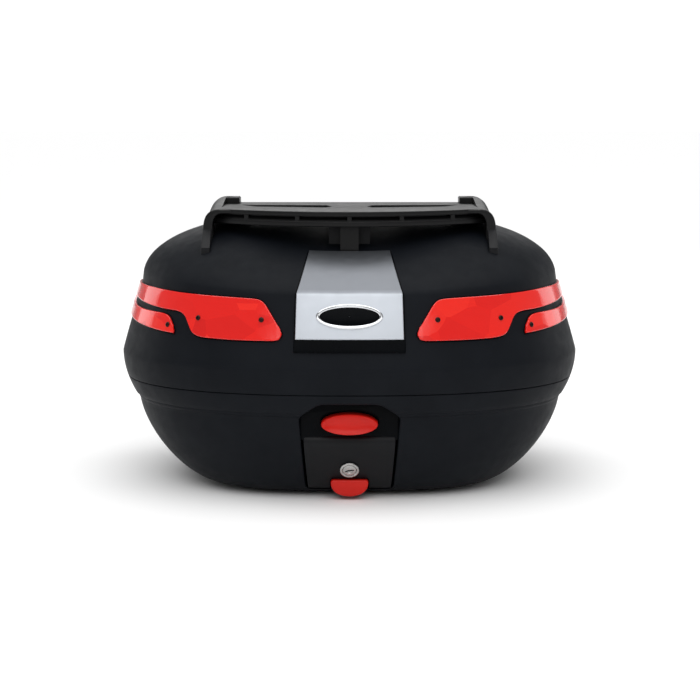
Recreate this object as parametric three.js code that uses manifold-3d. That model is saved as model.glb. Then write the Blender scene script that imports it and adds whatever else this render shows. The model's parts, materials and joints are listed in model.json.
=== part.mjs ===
// Motorcycle top case: a lockable two-shell luggage case with a rack on its lid.
// Millimetres. +Z up, +X to the right of a person who faces the lock.
// -Y towards that person, +Y towards the rider.
// The origin is on the ground under the middle of the case.
import * as THREE from "three";
import { mergeVertices } from "three/addons/utils/BufferGeometryUtils.js";
import Module from "manifold-3d";

const wasm = await Module();
wasm.setup();

// ---- driving dimensions ---------------------------------------------------------------------------------

const GAP = 0.3; // clearance between pieces that touch
const WALL = 3.5; // wall of both shells
const FLOOR_Z = 6; // underside of the bottom shell, on top of the rubber feet
const NOTCH_Z = 107; // where the rim band overhangs the tapered lower body
const SEAM_Z = 134; // top of the bottom shell
const SEAM_GAP = 0.6; // shut line between the shells
const SEAL_DEPTH = 5; // how far the rim seal reaches below and above the seam
const SEAL_RISE = 4;
const WIDEST_Z = 165;
const CREASE_Z = 252; // fold where the lid's sides turn into its dome
const DOME_TOP_Z = 336;

// Each level of the shells is a superellipse: side half-width, front and back half-depths.
const BASE = { side: 182, front: 143, back: 142 };
const NOTCH = { side: 268.7, front: 200, back: 192 };
const BAND = { side: 270, front: 204, back: 196 };
const WIDEST = { side: 289, front: 215, back: 206 };
const CREASE = { side: 263, front: 194, back: 196 };
const FRONT_ROUNDNESS = 2.34; // superellipse exponents of the plan's halves
const BACK_ROUNDNESS = 3.2;
const BASE_FRONT_ROUNDNESS = 3;
const TAPER_ROUNDNESS = 1.5; // how the lower body curves in to its base
const UPPER_LEAN = 1.06; // how the lid's side leans in from its widest level to the crease
const DOME_SIDE = 2.45; // dome profile exponents at the side, the front and the back
const DOME_FRONT = 1.3;
const DOME_BACK = 2.4;
const AROUND = 48; // facets round a shell

// Lock bay in the front of the bottom shell, and what is in it.
const BAY_BACK_Y = -111;
const BAY_BASE = { half: 53, z: FLOOR_Z + WALL };
const BAY_WIDEST = { half: 60, z: 107 };
const BAY_TOP = { half: 36, z: 123 };
const BAY_WALL = 3;
const PLATE_TOP_Z = 79;
const PLATE_SIDE_GAP = 2.6;
const PLATE_THICK = 3;
const BEZEL_Y = -187;
const BEZEL_THICK = 3;
const BUTTON = { half_w: 33.7, half_h: 12.6, z: 98, front_y: -202, back_y: -190 };
const BUTTON_CLEARANCE = 0.8;
const STEM_HALF = 5;
const KEY_Z = 39;
const KEY_TILT = THREE.MathUtils.degToRad(31); // the lock plate leans in by this much at the key
const BARREL_R = 9.7;
const FLANGE_R = BARREL_R + 1.8;
const PLUG_R = BARREL_R - 1.5;
const BARREL_LONG = 24;
const CAM_LONG = 15;
const TAB = { half_w: 22.6, top_z: 25, bottom_z: 4.6, front_y: -172, back_y: -160 };
const TAB_CLEARANCE = 1.2;

// Hooks and the pins that they turn on. Both pins run along X.
const PIN_R = 2;
const PIN_CLEARANCE = 0.35;
const HOOK_HALF = 6;
const LEVER_HALF = 3.2;
const LID_HOOK = { y: -162, z: 80, top_z: 120 };
const MOUNT_HOOK = { y: -128, z: 44, nose_z: 2 };
const CHASSIS_HALF = 13;
const CHASSIS_THICK = 2.5;
const STRIKER = { y: -174.8, half_t: 1.3, half_w: 12, low_z: 108, shelf_z: 150, top_z: 172 };
const STRIKER_SLOT_MARGIN = 4;

// Lid hinge at the back.
const KNUCKLE_R = 5.2;
const HINGE = { y: WIDEST.front - KNUCKLE_R, z: 132, x: 120, knuckle_r: KNUCKLE_R, knuckle_w: 12, gap: 0.4 };

// Rack on the lid.
const RACK_TOP_Z = DOME_TOP_Z + 9;
const RACK = { half_w: 170, deck_half: 160, plate: 4, front_y: -137, end_y: -67, rear_y: 76 };
const BAR = { high: 18, skirt_high: 6.5, lip: 5.5, depth: 13, groove_depth: 8 };
const RACK_SLOT = { front: [28, -44], bend: [118, -24], tip: [141, 16], rear: [28, 6], inner_x: 16 };
const RACK_RIB_PITCH = 63;
const RACK_RIB_W = 5;
const RACK_LEG = { half_w: 181, thick: 12, front_y: -86, rear_y: -54 };
// Bezier of the rounded shoulder: in from the legs' outer face, and down from the top.
const RACK_SHOULDER = [[1, 22], [2, 7], [8, 0], [21, 0]];
const RAIL_THICK = 5;
// The front legs' shoes: y, and how far below the deck's top.
const RACK_SHOE = [[-114, 65], [-114, 45], [-84, 23], [-70, 23], [-70, 65]];
const PILLAR = { half_w: 11, front_y: -127 };
const PILLAR_WING = { half_w: 25, front_y: -108, rear_y: -38 };
const RACK_BLOCK = { inner_x: 143, front_y: 42, rise: 8 };
const RACK_SEAT = 0.5; // clearance between the rack and the dome
const RACK_SCREW_R = 3;
const RACK_SCREWS = [
  [-172, -70],
  [172, -70],
  [-158, 60],
  [158, 60],
];
const BOSS_R = 8;

// Garnish over the lid's front crease.
const CARRIER = { low_z: 184.5, margin: 2, from: 0.4, thick: 2.2 };
const PANEL = { low_z: 199, base_half: 63.2, crease_half: 61.7, top_half: 48.5, taper: 1.25, thick: 1.6 };
const GARNISH_TOP_ANGLE = THREE.MathUtils.degToRad(39.5);
const BADGE = { half_w: 39.5, half_h: 14.5, z: 224.5, thick: 1.6 };
const BADGE_PLATE = { half_w: 35, half_h: 11.2, thick: 1.2 };

// Reflectors: distance round the lid from its front middle, and the upper and lower edges there.
const LENS_FROM = 0.5;
const LENS_THICK = 2.8;
const UPPER_LENS = {
  top: [
    [78, 207], [84, 217], [103, 243], [112, 245.5], [139, 246.5], [183, 247.5], [221, 248.5],
    [273, 250.5], [330, 251], [388, 250], [394, 247],
  ],
  bottom: [
    [78, 204], [81, 198], [103, 197.5], [141, 197.5], [174, 198.5], [186, 201], [193, 208], [198, 217],
    [206, 224.5], [218, 227], [240, 227.5], [264, 229], [297, 231.5], [340, 235], [388, 240], [394, 243],
  ],
};
const LOWER_LENS = {
  top: [
    [215.5, 203], [219, 209], [224, 217], [229, 220.5], [240, 222.5], [281, 223], [320, 224.5],
    [365, 229], [388, 232], [394, 229],
  ],
  bottom: [
    [215.5, 200.5], [219, 200.8], [236, 201.5], [275, 204.5], [318, 208.5], [360, 214], [388, 220], [394, 224],
  ],
};
const LENS_STEP = 13; // widest facet along a reflector
const UPPER_LENS_SCREWS = [[103, 221.5], [183, 220.5]];
const LOWER_LENS_SCREWS = [[226, 209.5]];
const LENS_SCREW = { head_r: 3.1, head_h: 1.5, shank_r: 1.3, long: 9 };

// Feet and the sockets for the carrier plate's tongues.
const FOOT_R = 14;
const FOOT_STUD_R = 3;
const FEET = [
  [-128, -84],
  [128, -84],
  [-128, 84],
  [128, 84],
];
const SOCKET = { x: 60, y: 92, half_w: 16, half_d: 12, deep: 10 };

// ---- small geometry helpers -----------------------------------------------------------------------------

const mix = (p, q, t) => p + (q - p) * t;
const power = (value, exponent) => Math.sign(value) * Math.abs(value) ** exponent;

// A list of numbers from low to high in equal steps.
function spread(low, high, steps) {
  return Array.from({ length: steps + 1 }, (_, i) => mix(low, high, i / steps));
}

function solidOf(geometry) {
  const flat = geometry.index ? geometry.toNonIndexed() : geometry.clone();
  flat.deleteAttribute("normal");
  flat.deleteAttribute("uv");
  const merged = mergeVertices(flat, 1e-4);
  return new wasm.Manifold(
    new wasm.Mesh({
      numProp: 3,
      vertProperties: merged.attributes.position.array,
      triVerts: new Uint32Array(merged.index.array),
    }),
  );
}

function geometryOf(solid) {
  const mesh = solid.getMesh();
  const geometry = new THREE.BufferGeometry();
  geometry.setAttribute("position", new THREE.BufferAttribute(new Float32Array(mesh.vertProperties), 3));
  geometry.setIndex(new THREE.BufferAttribute(new Uint32Array(mesh.triVerts), 1));
  geometry.computeVertexNormals();
  return geometry;
}

// Adds then cuts, and gives the solid.
function build(base, adds = [], cuts = []) {
  let solid = base;
  for (const piece of adds) solid = solid.add(piece);
  for (const piece of cuts) solid = solid.subtract(piece);
  return solid;
}

// A closed mesh from points and triangles, turned so that its faces point out.
function closedMesh(points, triangles) {
  let volume = 0;
  for (const [i, j, k] of triangles) {
    const normal = new THREE.Vector3().crossVectors(points[j], points[k]);
    volume += points[i].dot(normal);
  }
  const ordered = volume < 0 ? triangles.map(([i, j, k]) => [i, k, j]) : triangles;
  const geometry = new THREE.BufferGeometry();
  const flat = points.flatMap((p) => [p.x, p.y, p.z]);
  geometry.setAttribute("position", new THREE.Float32BufferAttribute(flat, 3));
  geometry.setIndex(ordered.flat());
  geometry.computeVertexNormals();
  return geometry;
}

// A closed body through a stack of rings, each end shut by a fan round a middle point.
function loft(rings, firstMiddle, lastMiddle) {
  const count = rings[0].length;
  const points = [...rings.flat(), firstMiddle, lastMiddle];
  const first = points.length - 2;
  const last = points.length - 1;
  const triangles = [];
  for (let i = 0; i < count; i++) {
    const next = (i + 1) % count;
    triangles.push([first, next, i]);
    triangles.push([last, (rings.length - 1) * count + i, (rings.length - 1) * count + next]);
    for (let r = 0; r + 1 < rings.length; r++) {
      const low = r * count;
      const high = low + count;
      triangles.push([low + i, low + next, high + next]);
      triangles.push([low + i, high + next, high + i]);
    }
  }
  return closedMesh(points, triangles);
}

// A curved slab. columns holds { at, low, high }; place(at, across, depth) gives a point in space.
function slab(columns, rows, place, from, to) {
  const points = [];
  for (const depth of [from, to]) {
    for (const { at, low, high } of columns) {
      for (let j = 0; j <= rows; j++) points.push(place(at, mix(low, high, j / rows), depth));
    }
  }
  const layer = columns.length * (rows + 1);
  const index = (i, j, side) => side * layer + i * (rows + 1) + j;
  const triangles = [];
  const quad = (a, b, c, d) => triangles.push([a, b, c], [a, c, d]);
  for (let i = 0; i + 1 < columns.length; i++) {
    for (let j = 0; j < rows; j++) {
      quad(index(i, j, 0), index(i, j + 1, 0), index(i + 1, j + 1, 0), index(i + 1, j, 0));
      quad(index(i, j, 1), index(i + 1, j, 1), index(i + 1, j + 1, 1), index(i, j + 1, 1));
    }
    quad(index(i, 0, 0), index(i + 1, 0, 0), index(i + 1, 0, 1), index(i, 0, 1));
    quad(index(i, rows, 0), index(i, rows, 1), index(i + 1, rows, 1), index(i + 1, rows, 0));
  }
  const end = columns.length - 1;
  for (let j = 0; j < rows; j++) {
    quad(index(0, j, 0), index(0, j, 1), index(0, j + 1, 1), index(0, j + 1, 0));
    quad(index(end, j, 0), index(end, j + 1, 0), index(end, j + 1, 1), index(end, j, 1));
  }
  return closedMesh(points, triangles);
}

function box(x0, x1, y0, y1, z0, z1) {
  const geometry = new THREE.BoxGeometry(x1 - x0, y1 - y0, z1 - z0);
  geometry.translate((x0 + x1) / 2, (y0 + y1) / 2, (z0 + z1) / 2);
  return solidOf(geometry);
}

// A shape of straight sides from a list of [across, up] points.
function polygon(corners) {
  return new THREE.Shape(corners.map(([u, v]) => new THREE.Vector2(u, v)));
}

// A shape in the XY plane, extruded from z0 to z1.
function extrudeUp(shape, z0, z1, curveSegments = 12) {
  const geometry = new THREE.ExtrudeGeometry(shape, { depth: z1 - z0, bevelEnabled: false, curveSegments });
  geometry.translate(0, 0, z0);
  return solidOf(geometry);
}

// A shape drawn as (x, z), extruded from y0 to y1.
function extrudeAlongY(shape, y0, y1, curveSegments = 12) {
  const geometry = new THREE.ExtrudeGeometry(shape, { depth: y1 - y0, bevelEnabled: false, curveSegments });
  geometry.rotateX(Math.PI / 2);
  geometry.translate(0, y1, 0);
  return solidOf(geometry);
}

// A shape drawn as (y, z), extruded from x0 to x1.
function extrudeAlongX(shape, x0, x1, curveSegments = 12) {
  const geometry = new THREE.ExtrudeGeometry(shape, { depth: x1 - x0, bevelEnabled: false, curveSegments });
  geometry.rotateX(Math.PI / 2);
  geometry.rotateZ(Math.PI / 2);
  geometry.translate(x0, 0, 0);
  return solidOf(geometry);
}

// A round bar from one point to another.
function rod(start, end, radius, sides = 14) {
  const along = new THREE.Vector3().subVectors(end, start);
  const geometry = new THREE.CylinderGeometry(radius, radius, along.length(), sides);
  const up = new THREE.Vector3(0, 1, 0);
  geometry.applyQuaternion(new THREE.Quaternion().setFromUnitVectors(up, along.clone().normalize()));
  geometry.translate((start.x + end.x) / 2, (start.y + end.y) / 2, (start.z + end.z) / 2);
  return solidOf(geometry);
}

const vec = (x, y, z) => new THREE.Vector3(x, y, z);
const rodX = (x0, x1, y, z, r, sides) => rod(vec(x0, y, z), vec(x1, y, z), r, sides);
const rodY = (x, y0, y1, z, r, sides) => rod(vec(x, y0, z), vec(x, y1, z), r, sides);
const rodZ = (x, y, z0, z1, r, sides) => rod(vec(x, y, z0), vec(x, y, z1), r, sides);

// A turned body about +Z from a profile of [radius, height] points that starts and ends on the axis or closes.
function turned(profile, sides = 24) {
  const geometry = new THREE.LatheGeometry(profile.map(([r, h]) => new THREE.Vector2(r, h)), sides);
  geometry.rotateX(Math.PI / 2);
  return geometry;
}

// ---- the case's surface ---------------------------------------------------------------------------------

// Size of the shells' plan at a height, less an inset all round.
function planAt(z, inset = 0) {
  if (z < NOTCH_Z) {
    const rise = Math.max(0, (z - FLOOR_Z) / (NOTCH_Z - FLOOR_Z));
    return taperPlan(rise, inset);
  }
  const low = z < WIDEST_Z;
  const span = low ? NOTCH_Z - WIDEST_Z : CREASE_Z - WIDEST_Z;
  const t = ((z - WIDEST_Z) / span) ** (low ? 2 : UPPER_LEAN);
  const other = low ? BAND : CREASE;
  return {
    side: mix(WIDEST.side, other.side, t) - inset,
    front: mix(WIDEST.front, other.front, t) - inset,
    back: mix(WIDEST.back, other.back, t) - inset,
    roundness: FRONT_ROUNDNESS,
  };
}

// Plan of the lower body, from 0 at its base to 1 at the notch.
function taperPlan(rise, inset = 0) {
  const swell = (1 - (1 - rise) ** TAPER_ROUNDNESS) ** (1 / TAPER_ROUNDNESS);
  return {
    side: mix(BASE.side, NOTCH.side, swell) - inset,
    front: mix(BASE.front, NOTCH.front, swell) - inset,
    back: mix(BASE.back, NOTCH.back, swell) - inset,
    roundness: mix(BASE_FRONT_ROUNDNESS, FRONT_ROUNDNESS, swell),
  };
}

// A point of a plan at an angle from +X.
function planPoint(plan, angle, z) {
  const s = Math.sin(angle);
  const roundness = s < 0 ? plan.roundness : BACK_ROUNDNESS;
  const depth = s < 0 ? plan.front : plan.back;
  return new THREE.Vector3(
    plan.side * power(Math.cos(angle), 2 / roundness),
    depth * power(s, 2 / roundness),
    z,
  );
}

// A point of the dome: climb goes from 0 at the crease to a quarter turn at the top.
function domePoint(climb, angle, inset = 0) {
  const s = Math.sin(angle);
  const facing = Math.abs(s) ** 1.5;
  const exponent = mix(DOME_SIDE, s < 0 ? DOME_FRONT : DOME_BACK, facing);
  const shrink = Math.max(0, Math.cos(climb)) ** (2 / exponent);
  const rise = Math.sin(climb) ** (2 / exponent);
  const point = planPoint(planAt(CREASE_Z, inset), angle, 0);
  return new THREE.Vector3(point.x * shrink, point.y * shrink, mix(CREASE_Z, DOME_TOP_Z - inset, rise));
}

const ANGLES = spread(0, 2 * Math.PI, AROUND).slice(0, AROUND);
const ringAt = (z, inset) => ANGLES.map((angle) => planPoint(planAt(z, inset), angle, z));
const domeRing = (climb, inset) => ANGLES.map((angle) => domePoint(climb, angle, inset));

// The lower body's ring at a rise, for an inset skin whose floor is higher by the same inset.
function taperRing(rise, inset) {
  const z = mix(FLOOR_Z + inset, NOTCH_Z, rise);
  return ANGLES.map((angle) => planPoint(taperPlan(rise, inset), angle, z));
}

// Levels of the rings: a skin seen from outside has them closer together than the cavity behind it.
const OUTER = {
  rises: [0, 0.02, 0.06, 0.13, 0.24, 0.4, 0.62, 1],
  sides: 4,
  climbs: [6, 16, 28, 41, 55, 69, 82],
};
const INNER = { rises: [0, 0.04, 0.16, 0.45, 1], sides: 2, climbs: [12, 32, 56, 80] };

// The case from its floor to the seam, or past it, as a filled body.
function lowerBody(inset, topZ, { rises } = OUTER) {
  const band = [NOTCH_Z, SEAM_Z - SEAL_DEPTH, topZ].map((z) => ringAt(z, inset));
  const rings = [...rises.map((rise) => taperRing(rise, inset)), ...band];
  return solidOf(loft(rings, new THREE.Vector3(0, 0, FLOOR_Z + inset), new THREE.Vector3(0, 0, topZ)));
}

// The lid from a height up to the dome's top as a filled body.
function upperBody(inset, bottomZ, { sides, climbs } = OUTER) {
  const side = [bottomZ, SEAM_Z + SEAL_RISE, ...spread(WIDEST_Z, CREASE_Z, sides)].map((z) => ringAt(z, inset));
  const dome = climbs.map((degrees) => domeRing(THREE.MathUtils.degToRad(degrees), inset));
  const top = new THREE.Vector3(0, 0, DOME_TOP_Z - inset);
  return solidOf(loft([...side, ...dome], new THREE.Vector3(0, 0, bottomZ), top));
}

// Angle of the plan for a distance round the left of the lid from its front middle.
const WRAP_Z = 225;
const WRAP = (() => {
  const table = [{ round: 0, angle: 1.5 * Math.PI }];
  let last = planPoint(planAt(WRAP_Z), 1.5 * Math.PI, WRAP_Z);
  for (const angle of spread(1.5 * Math.PI, 0.7 * Math.PI, 800).slice(1)) {
    const point = planPoint(planAt(WRAP_Z), angle, WRAP_Z);
    table.push({ round: table.at(-1).round + point.distanceTo(last), angle });
    last = point;
  }
  return table;
})();

function wrapAngle(round) {
  const i = Math.max(1, WRAP.findIndex((entry) => entry.round >= round));
  const before = WRAP[i - 1];
  const after = WRAP[i];
  return mix(before.angle, after.angle, (round - before.round) / (after.round - before.round));
}

// A point that stands off the left of the lid's side by a depth, and the way out there.
function sideFrame(round, z) {
  const small = 0.5;
  const angle = wrapAngle(round);
  const plan = planAt(z);
  const point = planPoint(plan, angle, z);
  const behind = planPoint(plan, wrapAngle(round - small), z);
  const ahead = planPoint(plan, wrapAngle(round + small), z).sub(behind);
  const below = planPoint(planAt(z - small), angle, z - small);
  const up = planPoint(planAt(z + small), angle, z + small).sub(below);
  const out = new THREE.Vector3().crossVectors(ahead, up).normalize();
  if (out.dot(new THREE.Vector3(point.x, point.y, 0)) < 0) out.negate();
  return { point, out };
}

function sidePoint(round, z, depth) {
  const { point, out } = sideFrame(round, z);
  return point.addScaledVector(out, depth);
}

// A point of the front at a distance x from the middle.
// A level is a height up to the crease, or a climb over the dome.
function frontSurface(x, level) {
  if (level.climb === undefined) {
    const plan = planAt(level.z);
    const inner = 1 - Math.abs(x / plan.side) ** plan.roundness;
    return new THREE.Vector3(x, -plan.front * inner ** (1 / plan.roundness), level.z);
  }
  let low = 0;
  let high = Math.PI / 2.5;
  for (let halving = 0; halving < 30; halving++) {
    const turn = (low + high) / 2;
    if (domePoint(level.climb, 1.5 * Math.PI + turn).x < Math.abs(x)) low = turn;
    else high = turn;
  }
  const point = domePoint(level.climb, 1.5 * Math.PI + low);
  return point.setX(x);
}

// The same point, standing off the surface by a depth. Over the crease the two faces' directions are shared.
function frontPoint(x, level, depth) {
  const small = 0.4;
  const across = frontSurface(x + small, level).sub(frontSurface(x - small, level));
  const outOf = (up) => new THREE.Vector3().crossVectors(across, up).normalize();
  const here = frontSurface(x, level);
  const climb = level.climb ?? 0;
  const overDome = () => outOf(frontSurface(x, { climb: climb + 0.02 }).sub(frontSurface(x, { climb })));
  const upSide = () => outOf(here.clone().sub(frontSurface(x, { z: level.z - small })));
  if (level.climb !== undefined) return here.addScaledVector(overDome(), depth);
  const out = upSide();
  if (level.z === CREASE_Z) out.add(overDome()).normalize();
  return here.addScaledVector(out, depth);
}

// ---- materials ------------------------------------------------------------------------------------------

const finish = (color, roughness, metalness = 0) => () =>
  new THREE.MeshStandardMaterial({ color, roughness, metalness });
const shellBlack = finish(0x24262b, 0.62);
const rackBlack = finish(0x2b2c2e, 0.5);
const glossBlack = finish(0x0c0e12, 0.3);
const lockBlack = finish(0x212327, 0.55);
const silver = finish(0xcfd5dc, 0.35, 0.6);
const chrome = finish(0xd8dadd, 0.12, 1);
const lensRed = finish(0xee3b2d, 0.18);
const buttonRed = finish(0xcd3023, 0.35);
const steel = finish(0xb4b6b8, 0.35, 0.9);
const zinc = finish(0x8f9194, 0.45, 0.8);
const rubber = finish(0x151516, 0.85);

const topCase = new THREE.Group();

function place(name, shape, material, parent = topCase) {
  const geometry = shape.isBufferGeometry ? shape : geometryOf(shape);
  const mesh = new THREE.Mesh(geometry, material());
  mesh.name = name;
  parent.add(mesh);
  return mesh;
}

// ---- screws and their holes -----------------------------------------------------------------------------

// A pan-head screw that points down its own -Z, with the underside of its head at the origin.
function panScrew({ head_r: headR, head_h: headH, shank_r: shankR, long }, sides = 10) {
  const profile = [[0, -long], [shankR, -long], [shankR, 0], [headR, 0], [headR * 0.8, headH], [0, headH]];
  return turned(profile, sides);
}

function aim(mesh, point, out) {
  mesh.position.copy(point);
  mesh.quaternion.setFromUnitVectors(new THREE.Vector3(0, 0, 1), out);
}

// ---- lock bay -------------------------------------------------------------------------------------------

// Outline of the lock bay in the (x, z) plane, grown by a margin.
function bayOutline(margin) {
  const half = [
    [BAY_BASE.half + margin, BAY_BASE.z - margin],
    [BAY_WIDEST.half + margin, BAY_WIDEST.z],
    [BAY_TOP.half + margin, BAY_TOP.z + margin],
  ];
  return polygon([...half, ...half.map(([x, z]) => [-x, z]).reverse()]);
}

// Half-width of the bay at a height below its widest level.
const bayHalf = (z) => mix(BAY_BASE.half, BAY_WIDEST.half, (z - BAY_BASE.z) / (BAY_WIDEST.z - BAY_BASE.z));

const COVER = { half: 48, low: 18, high: 108, opening: 6, thick: 3, screw_inset: 3 };
const COVER_SCREW = { head_r: 2.6, head_h: 1.6, shank_r: 1.1, long: 5.2 };
const COVER_SCREW_SPOTS = [-1, 1].flatMap((side) =>
  [COVER.low + COVER.screw_inset, COVER.high - COVER.screw_inset].map((z) => [
    side * (COVER.half - COVER.screw_inset),
    z,
  ]),
);

function coverScrewHoles(y0, y1) {
  return COVER_SCREW_SPOTS.map(([x, z]) => rodY(x, y0, y1, z, COVER_SCREW.shank_r + GAP, 12));
}

function bottomShell() {
  const bayBlock = extrudeAlongY(bayOutline(BAY_WALL), -260, BAY_BACK_Y);
  const cavity = lowerBody(WALL, SEAM_Z + 2, INNER).subtract(bayBlock);
  const socketRoof = (x) =>
    box(
      x - SOCKET.half_w - WALL, x + SOCKET.half_w + WALL,
      SOCKET.y - SOCKET.half_d - WALL, SOCKET.y + SOCKET.half_d + WALL,
      FLOOR_Z, FLOOR_Z + SOCKET.deep + WALL,
    );
  const socketHole = (x) =>
    box(
      x - SOCKET.half_w, x + SOCKET.half_w,
      SOCKET.y - SOCKET.half_d, SOCKET.y + SOCKET.half_d,
      FLOOR_Z - 1, FLOOR_Z + SOCKET.deep,
    );
  const openHalf = COVER.half - COVER.opening;
  const bayBack = box(
    -openHalf, openHalf,
    BAY_BACK_Y - WALL - 1, BAY_BACK_Y + 1,
    COVER.low + COVER.opening, COVER.high - COVER.opening,
  );
  const strikerSlot = box(
    -STRIKER.half_w - STRIKER_SLOT_MARGIN, STRIKER.half_w + STRIKER_SLOT_MARGIN,
    STRIKER.y - STRIKER.half_t - STRIKER_SLOT_MARGIN, STRIKER.y + STRIKER.half_t + STRIKER_SLOT_MARGIN,
    BAY_TOP.z - 1, SEAM_Z - 1,
  );
  const noseSlot = box(
    -HOOK_HALF - 3, HOOK_HALF + 3, MOUNT_HOOK.y - 12, MOUNT_HOOK.y + 16, FLOOR_Z - 1, FLOOR_Z + WALL + 1,
  );
  return build(
    build(lowerBody(0, SEAM_Z), hingeKnuckles(-1), [cavity]),
    [socketRoof(-SOCKET.x), socketRoof(SOCKET.x)],
    [
      extrudeAlongY(bayOutline(0), -260, BAY_BACK_Y - WALL),
      bayBack,
      strikerSlot,
      noseSlot,
      socketHole(-SOCKET.x),
      socketHole(SOCKET.x),
      ...FEET.map(([x, y]) => rodZ(x, y, FLOOR_Z - 1, FLOOR_Z + WALL + 1, FOOT_STUD_R + GAP)),
      ...coverScrewHoles(BAY_BACK_Y - WALL - 1, BAY_BACK_Y + 1),
    ],
  );
}

// Outer plate of the bay below the button, flush with the case, with the key hole and the tab's notch.
function facePlate() {
  const half = bayHalf(PLATE_TOP_Z) - PLATE_SIDE_GAP;
  const lowZ = BAY_BASE.z + 1.5;
  const lean = bayHalf(PLATE_TOP_Z) - bayHalf(lowZ);
  const columns = spread(lowZ, PLATE_TOP_Z, 8).map((z) => {
    const across = half - (lean * (PLATE_TOP_Z - z)) / (PLATE_TOP_Z - lowZ);
    return { at: z, low: -across, high: across };
  });
  const body = slab(columns, 8, (z, x, depth) => frontPoint(x, { z }, depth), -PLATE_THICK - 0.2, -0.2);
  const tabHalf = TAB.half_w + TAB_CLEARANCE;
  const tabNotch = box(-tabHalf, tabHalf, -200, -120, FLOOR_Z, TAB.top_z + TAB_CLEARANCE);
  const keyHole = rod(keyPoint(20), keyPoint(-20), BARREL_R + GAP);
  return build(solidOf(body), [], [tabNotch, keyHole]);
}

// Dark plate set back in the bay, which the lid button comes through.
function buttonBezel() {
  const outline = bayOutline(-0.6);
  const trim = box(-100, 100, BEZEL_Y - 5, BEZEL_Y + 5, PLATE_TOP_Z - 3, 140);
  const plate = extrudeAlongY(outline, BEZEL_Y, BEZEL_Y + BEZEL_THICK).intersect(trim);
  return build(plate, [], [extrudeAlongY(ovalShape(BUTTON_CLEARANCE), BEZEL_Y - 3, BEZEL_Y + BEZEL_THICK + 3)]);
}

function ovalShape(margin) {
  const shape = new THREE.Shape();
  shape.absellipse(0, BUTTON.z, BUTTON.half_w + margin, BUTTON.half_h + margin, 0, 2 * Math.PI);
  return shape;
}

// Red oval button: a domed cap on a straight skirt, with a stem that meets the hook's lever.
function lidButton() {
  const sides = 36;
  const ring = (scale, y) =>
    spread(0, 2 * Math.PI, sides)
      .slice(0, sides)
      .map((a) => vec(
        BUTTON.half_w * scale * Math.cos(a),
        y,
        BUTTON.z + BUTTON.half_h * scale * Math.sin(a),
      ));
  const faceY = BUTTON.front_y;
  const backY = BUTTON.back_y + 6;
  const rings = [
    ring(1, backY),
    ring(1, faceY + 5),
    ring(0.93, faceY + 2.4),
    ring(0.75, faceY + 0.8),
    ring(0.4, faceY + 0.1),
  ];
  const cap = loft(rings, vec(0, backY, BUTTON.z), vec(0, faceY, BUTTON.z));
  const stemEnd = LID_HOOK.y - LEVER_HALF - 0.6;
  return solidOf(cap).add(box(-STEM_HALF, STEM_HALF, BUTTON.back_y, stemEnd, BUTTON.z - 1, BUTTON.z + 3));
}

// ---- key lock -------------------------------------------------------------------------------------------

const KEY_AT = frontSurface(0, { z: KEY_Z });
const KEY_OUT = new THREE.Vector3(0, -Math.cos(KEY_TILT), -Math.sin(KEY_TILT));

function keyPoint(outward) {
  return KEY_AT.clone().addScaledVector(KEY_OUT, outward);
}

// The key lock's own frame: +Z out of the case along the key.
const keyLock = new THREE.Group();
keyLock.position.copy(KEY_AT);
keyLock.rotation.x = Math.PI / 2 + KEY_TILT;
topCase.add(keyLock);

const NUT = { outer_r: BARREL_R + 3.3, from: -4.4, thick: 4 };
const CAM = { from: -BARREL_LONG - 3.2, thick: 2.5, half_w: 4 };

function lockBarrel() {
  const inner = PLUG_R + 0.35;
  const profile = [
    [inner, -BARREL_LONG],
    [BARREL_R, -BARREL_LONG],
    [BARREL_R, 0.4],
    [FLANGE_R, 0.4],
    [FLANGE_R, 2],
    [FLANGE_R - 0.8, 2.6],
    [inner, 2.6],
    [inner, -BARREL_LONG],
  ];
  return turned(profile, 22);
}

function barrelNut() {
  const hexagon = new THREE.Shape();
  const turns = spread(0, 2 * Math.PI, 6).slice(0, 6);
  hexagon.setFromPoints(
    turns.map((a) => new THREE.Vector2(NUT.outer_r * Math.cos(a), NUT.outer_r * Math.sin(a))),
  );
  const body = extrudeUp(hexagon, NUT.from - NUT.thick, NUT.from);
  return build(body, [], [rodZ(0, 0, NUT.from - NUT.thick - 1, NUT.from + 1, BARREL_R + GAP, 22)]);
}

function keyPlug() {
  const profile = [
    [0, -BARREL_LONG - 0.4],
    [PLUG_R, -BARREL_LONG - 0.4],
    [PLUG_R, 2.2],
    [PLUG_R - 0.5, 2.7],
    [0, 2.7],
  ];
  const slot = box(-5.5, 5.5, -0.9, 0.9, -6, 4);
  const screwHole = rodZ(0, 0, -BARREL_LONG - 2, -BARREL_LONG + 6, 1.6, 12);
  return build(solidOf(turned(profile, 22)), [], [slot, screwHole]);
}

function lockCam() {
  const shape = new THREE.Shape();
  shape.moveTo(-CAM.half_w, 0);
  shape.absarc(0, 0, CAM.half_w + 1, Math.PI, 2 * Math.PI);
  shape.lineTo(CAM.half_w, CAM_LONG);
  shape.lineTo(-CAM.half_w, CAM_LONG);
  const screwHole = rodZ(0, 0, CAM.from - 1, CAM.from + CAM.thick + 1, 1.7, 12);
  return build(extrudeUp(shape, CAM.from, CAM.from + CAM.thick), [], [screwHole]);
}

function camScrew() {
  const screw = panScrew({ head_r: 3.2, head_h: 1.8, shank_r: 1.3, long: 7 });
  screw.rotateX(Math.PI);
  screw.translate(0, 0, CAM.from - GAP);
  return screw;
}

// ---- hooks, chassis and striker -------------------------------------------------------------------------

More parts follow.
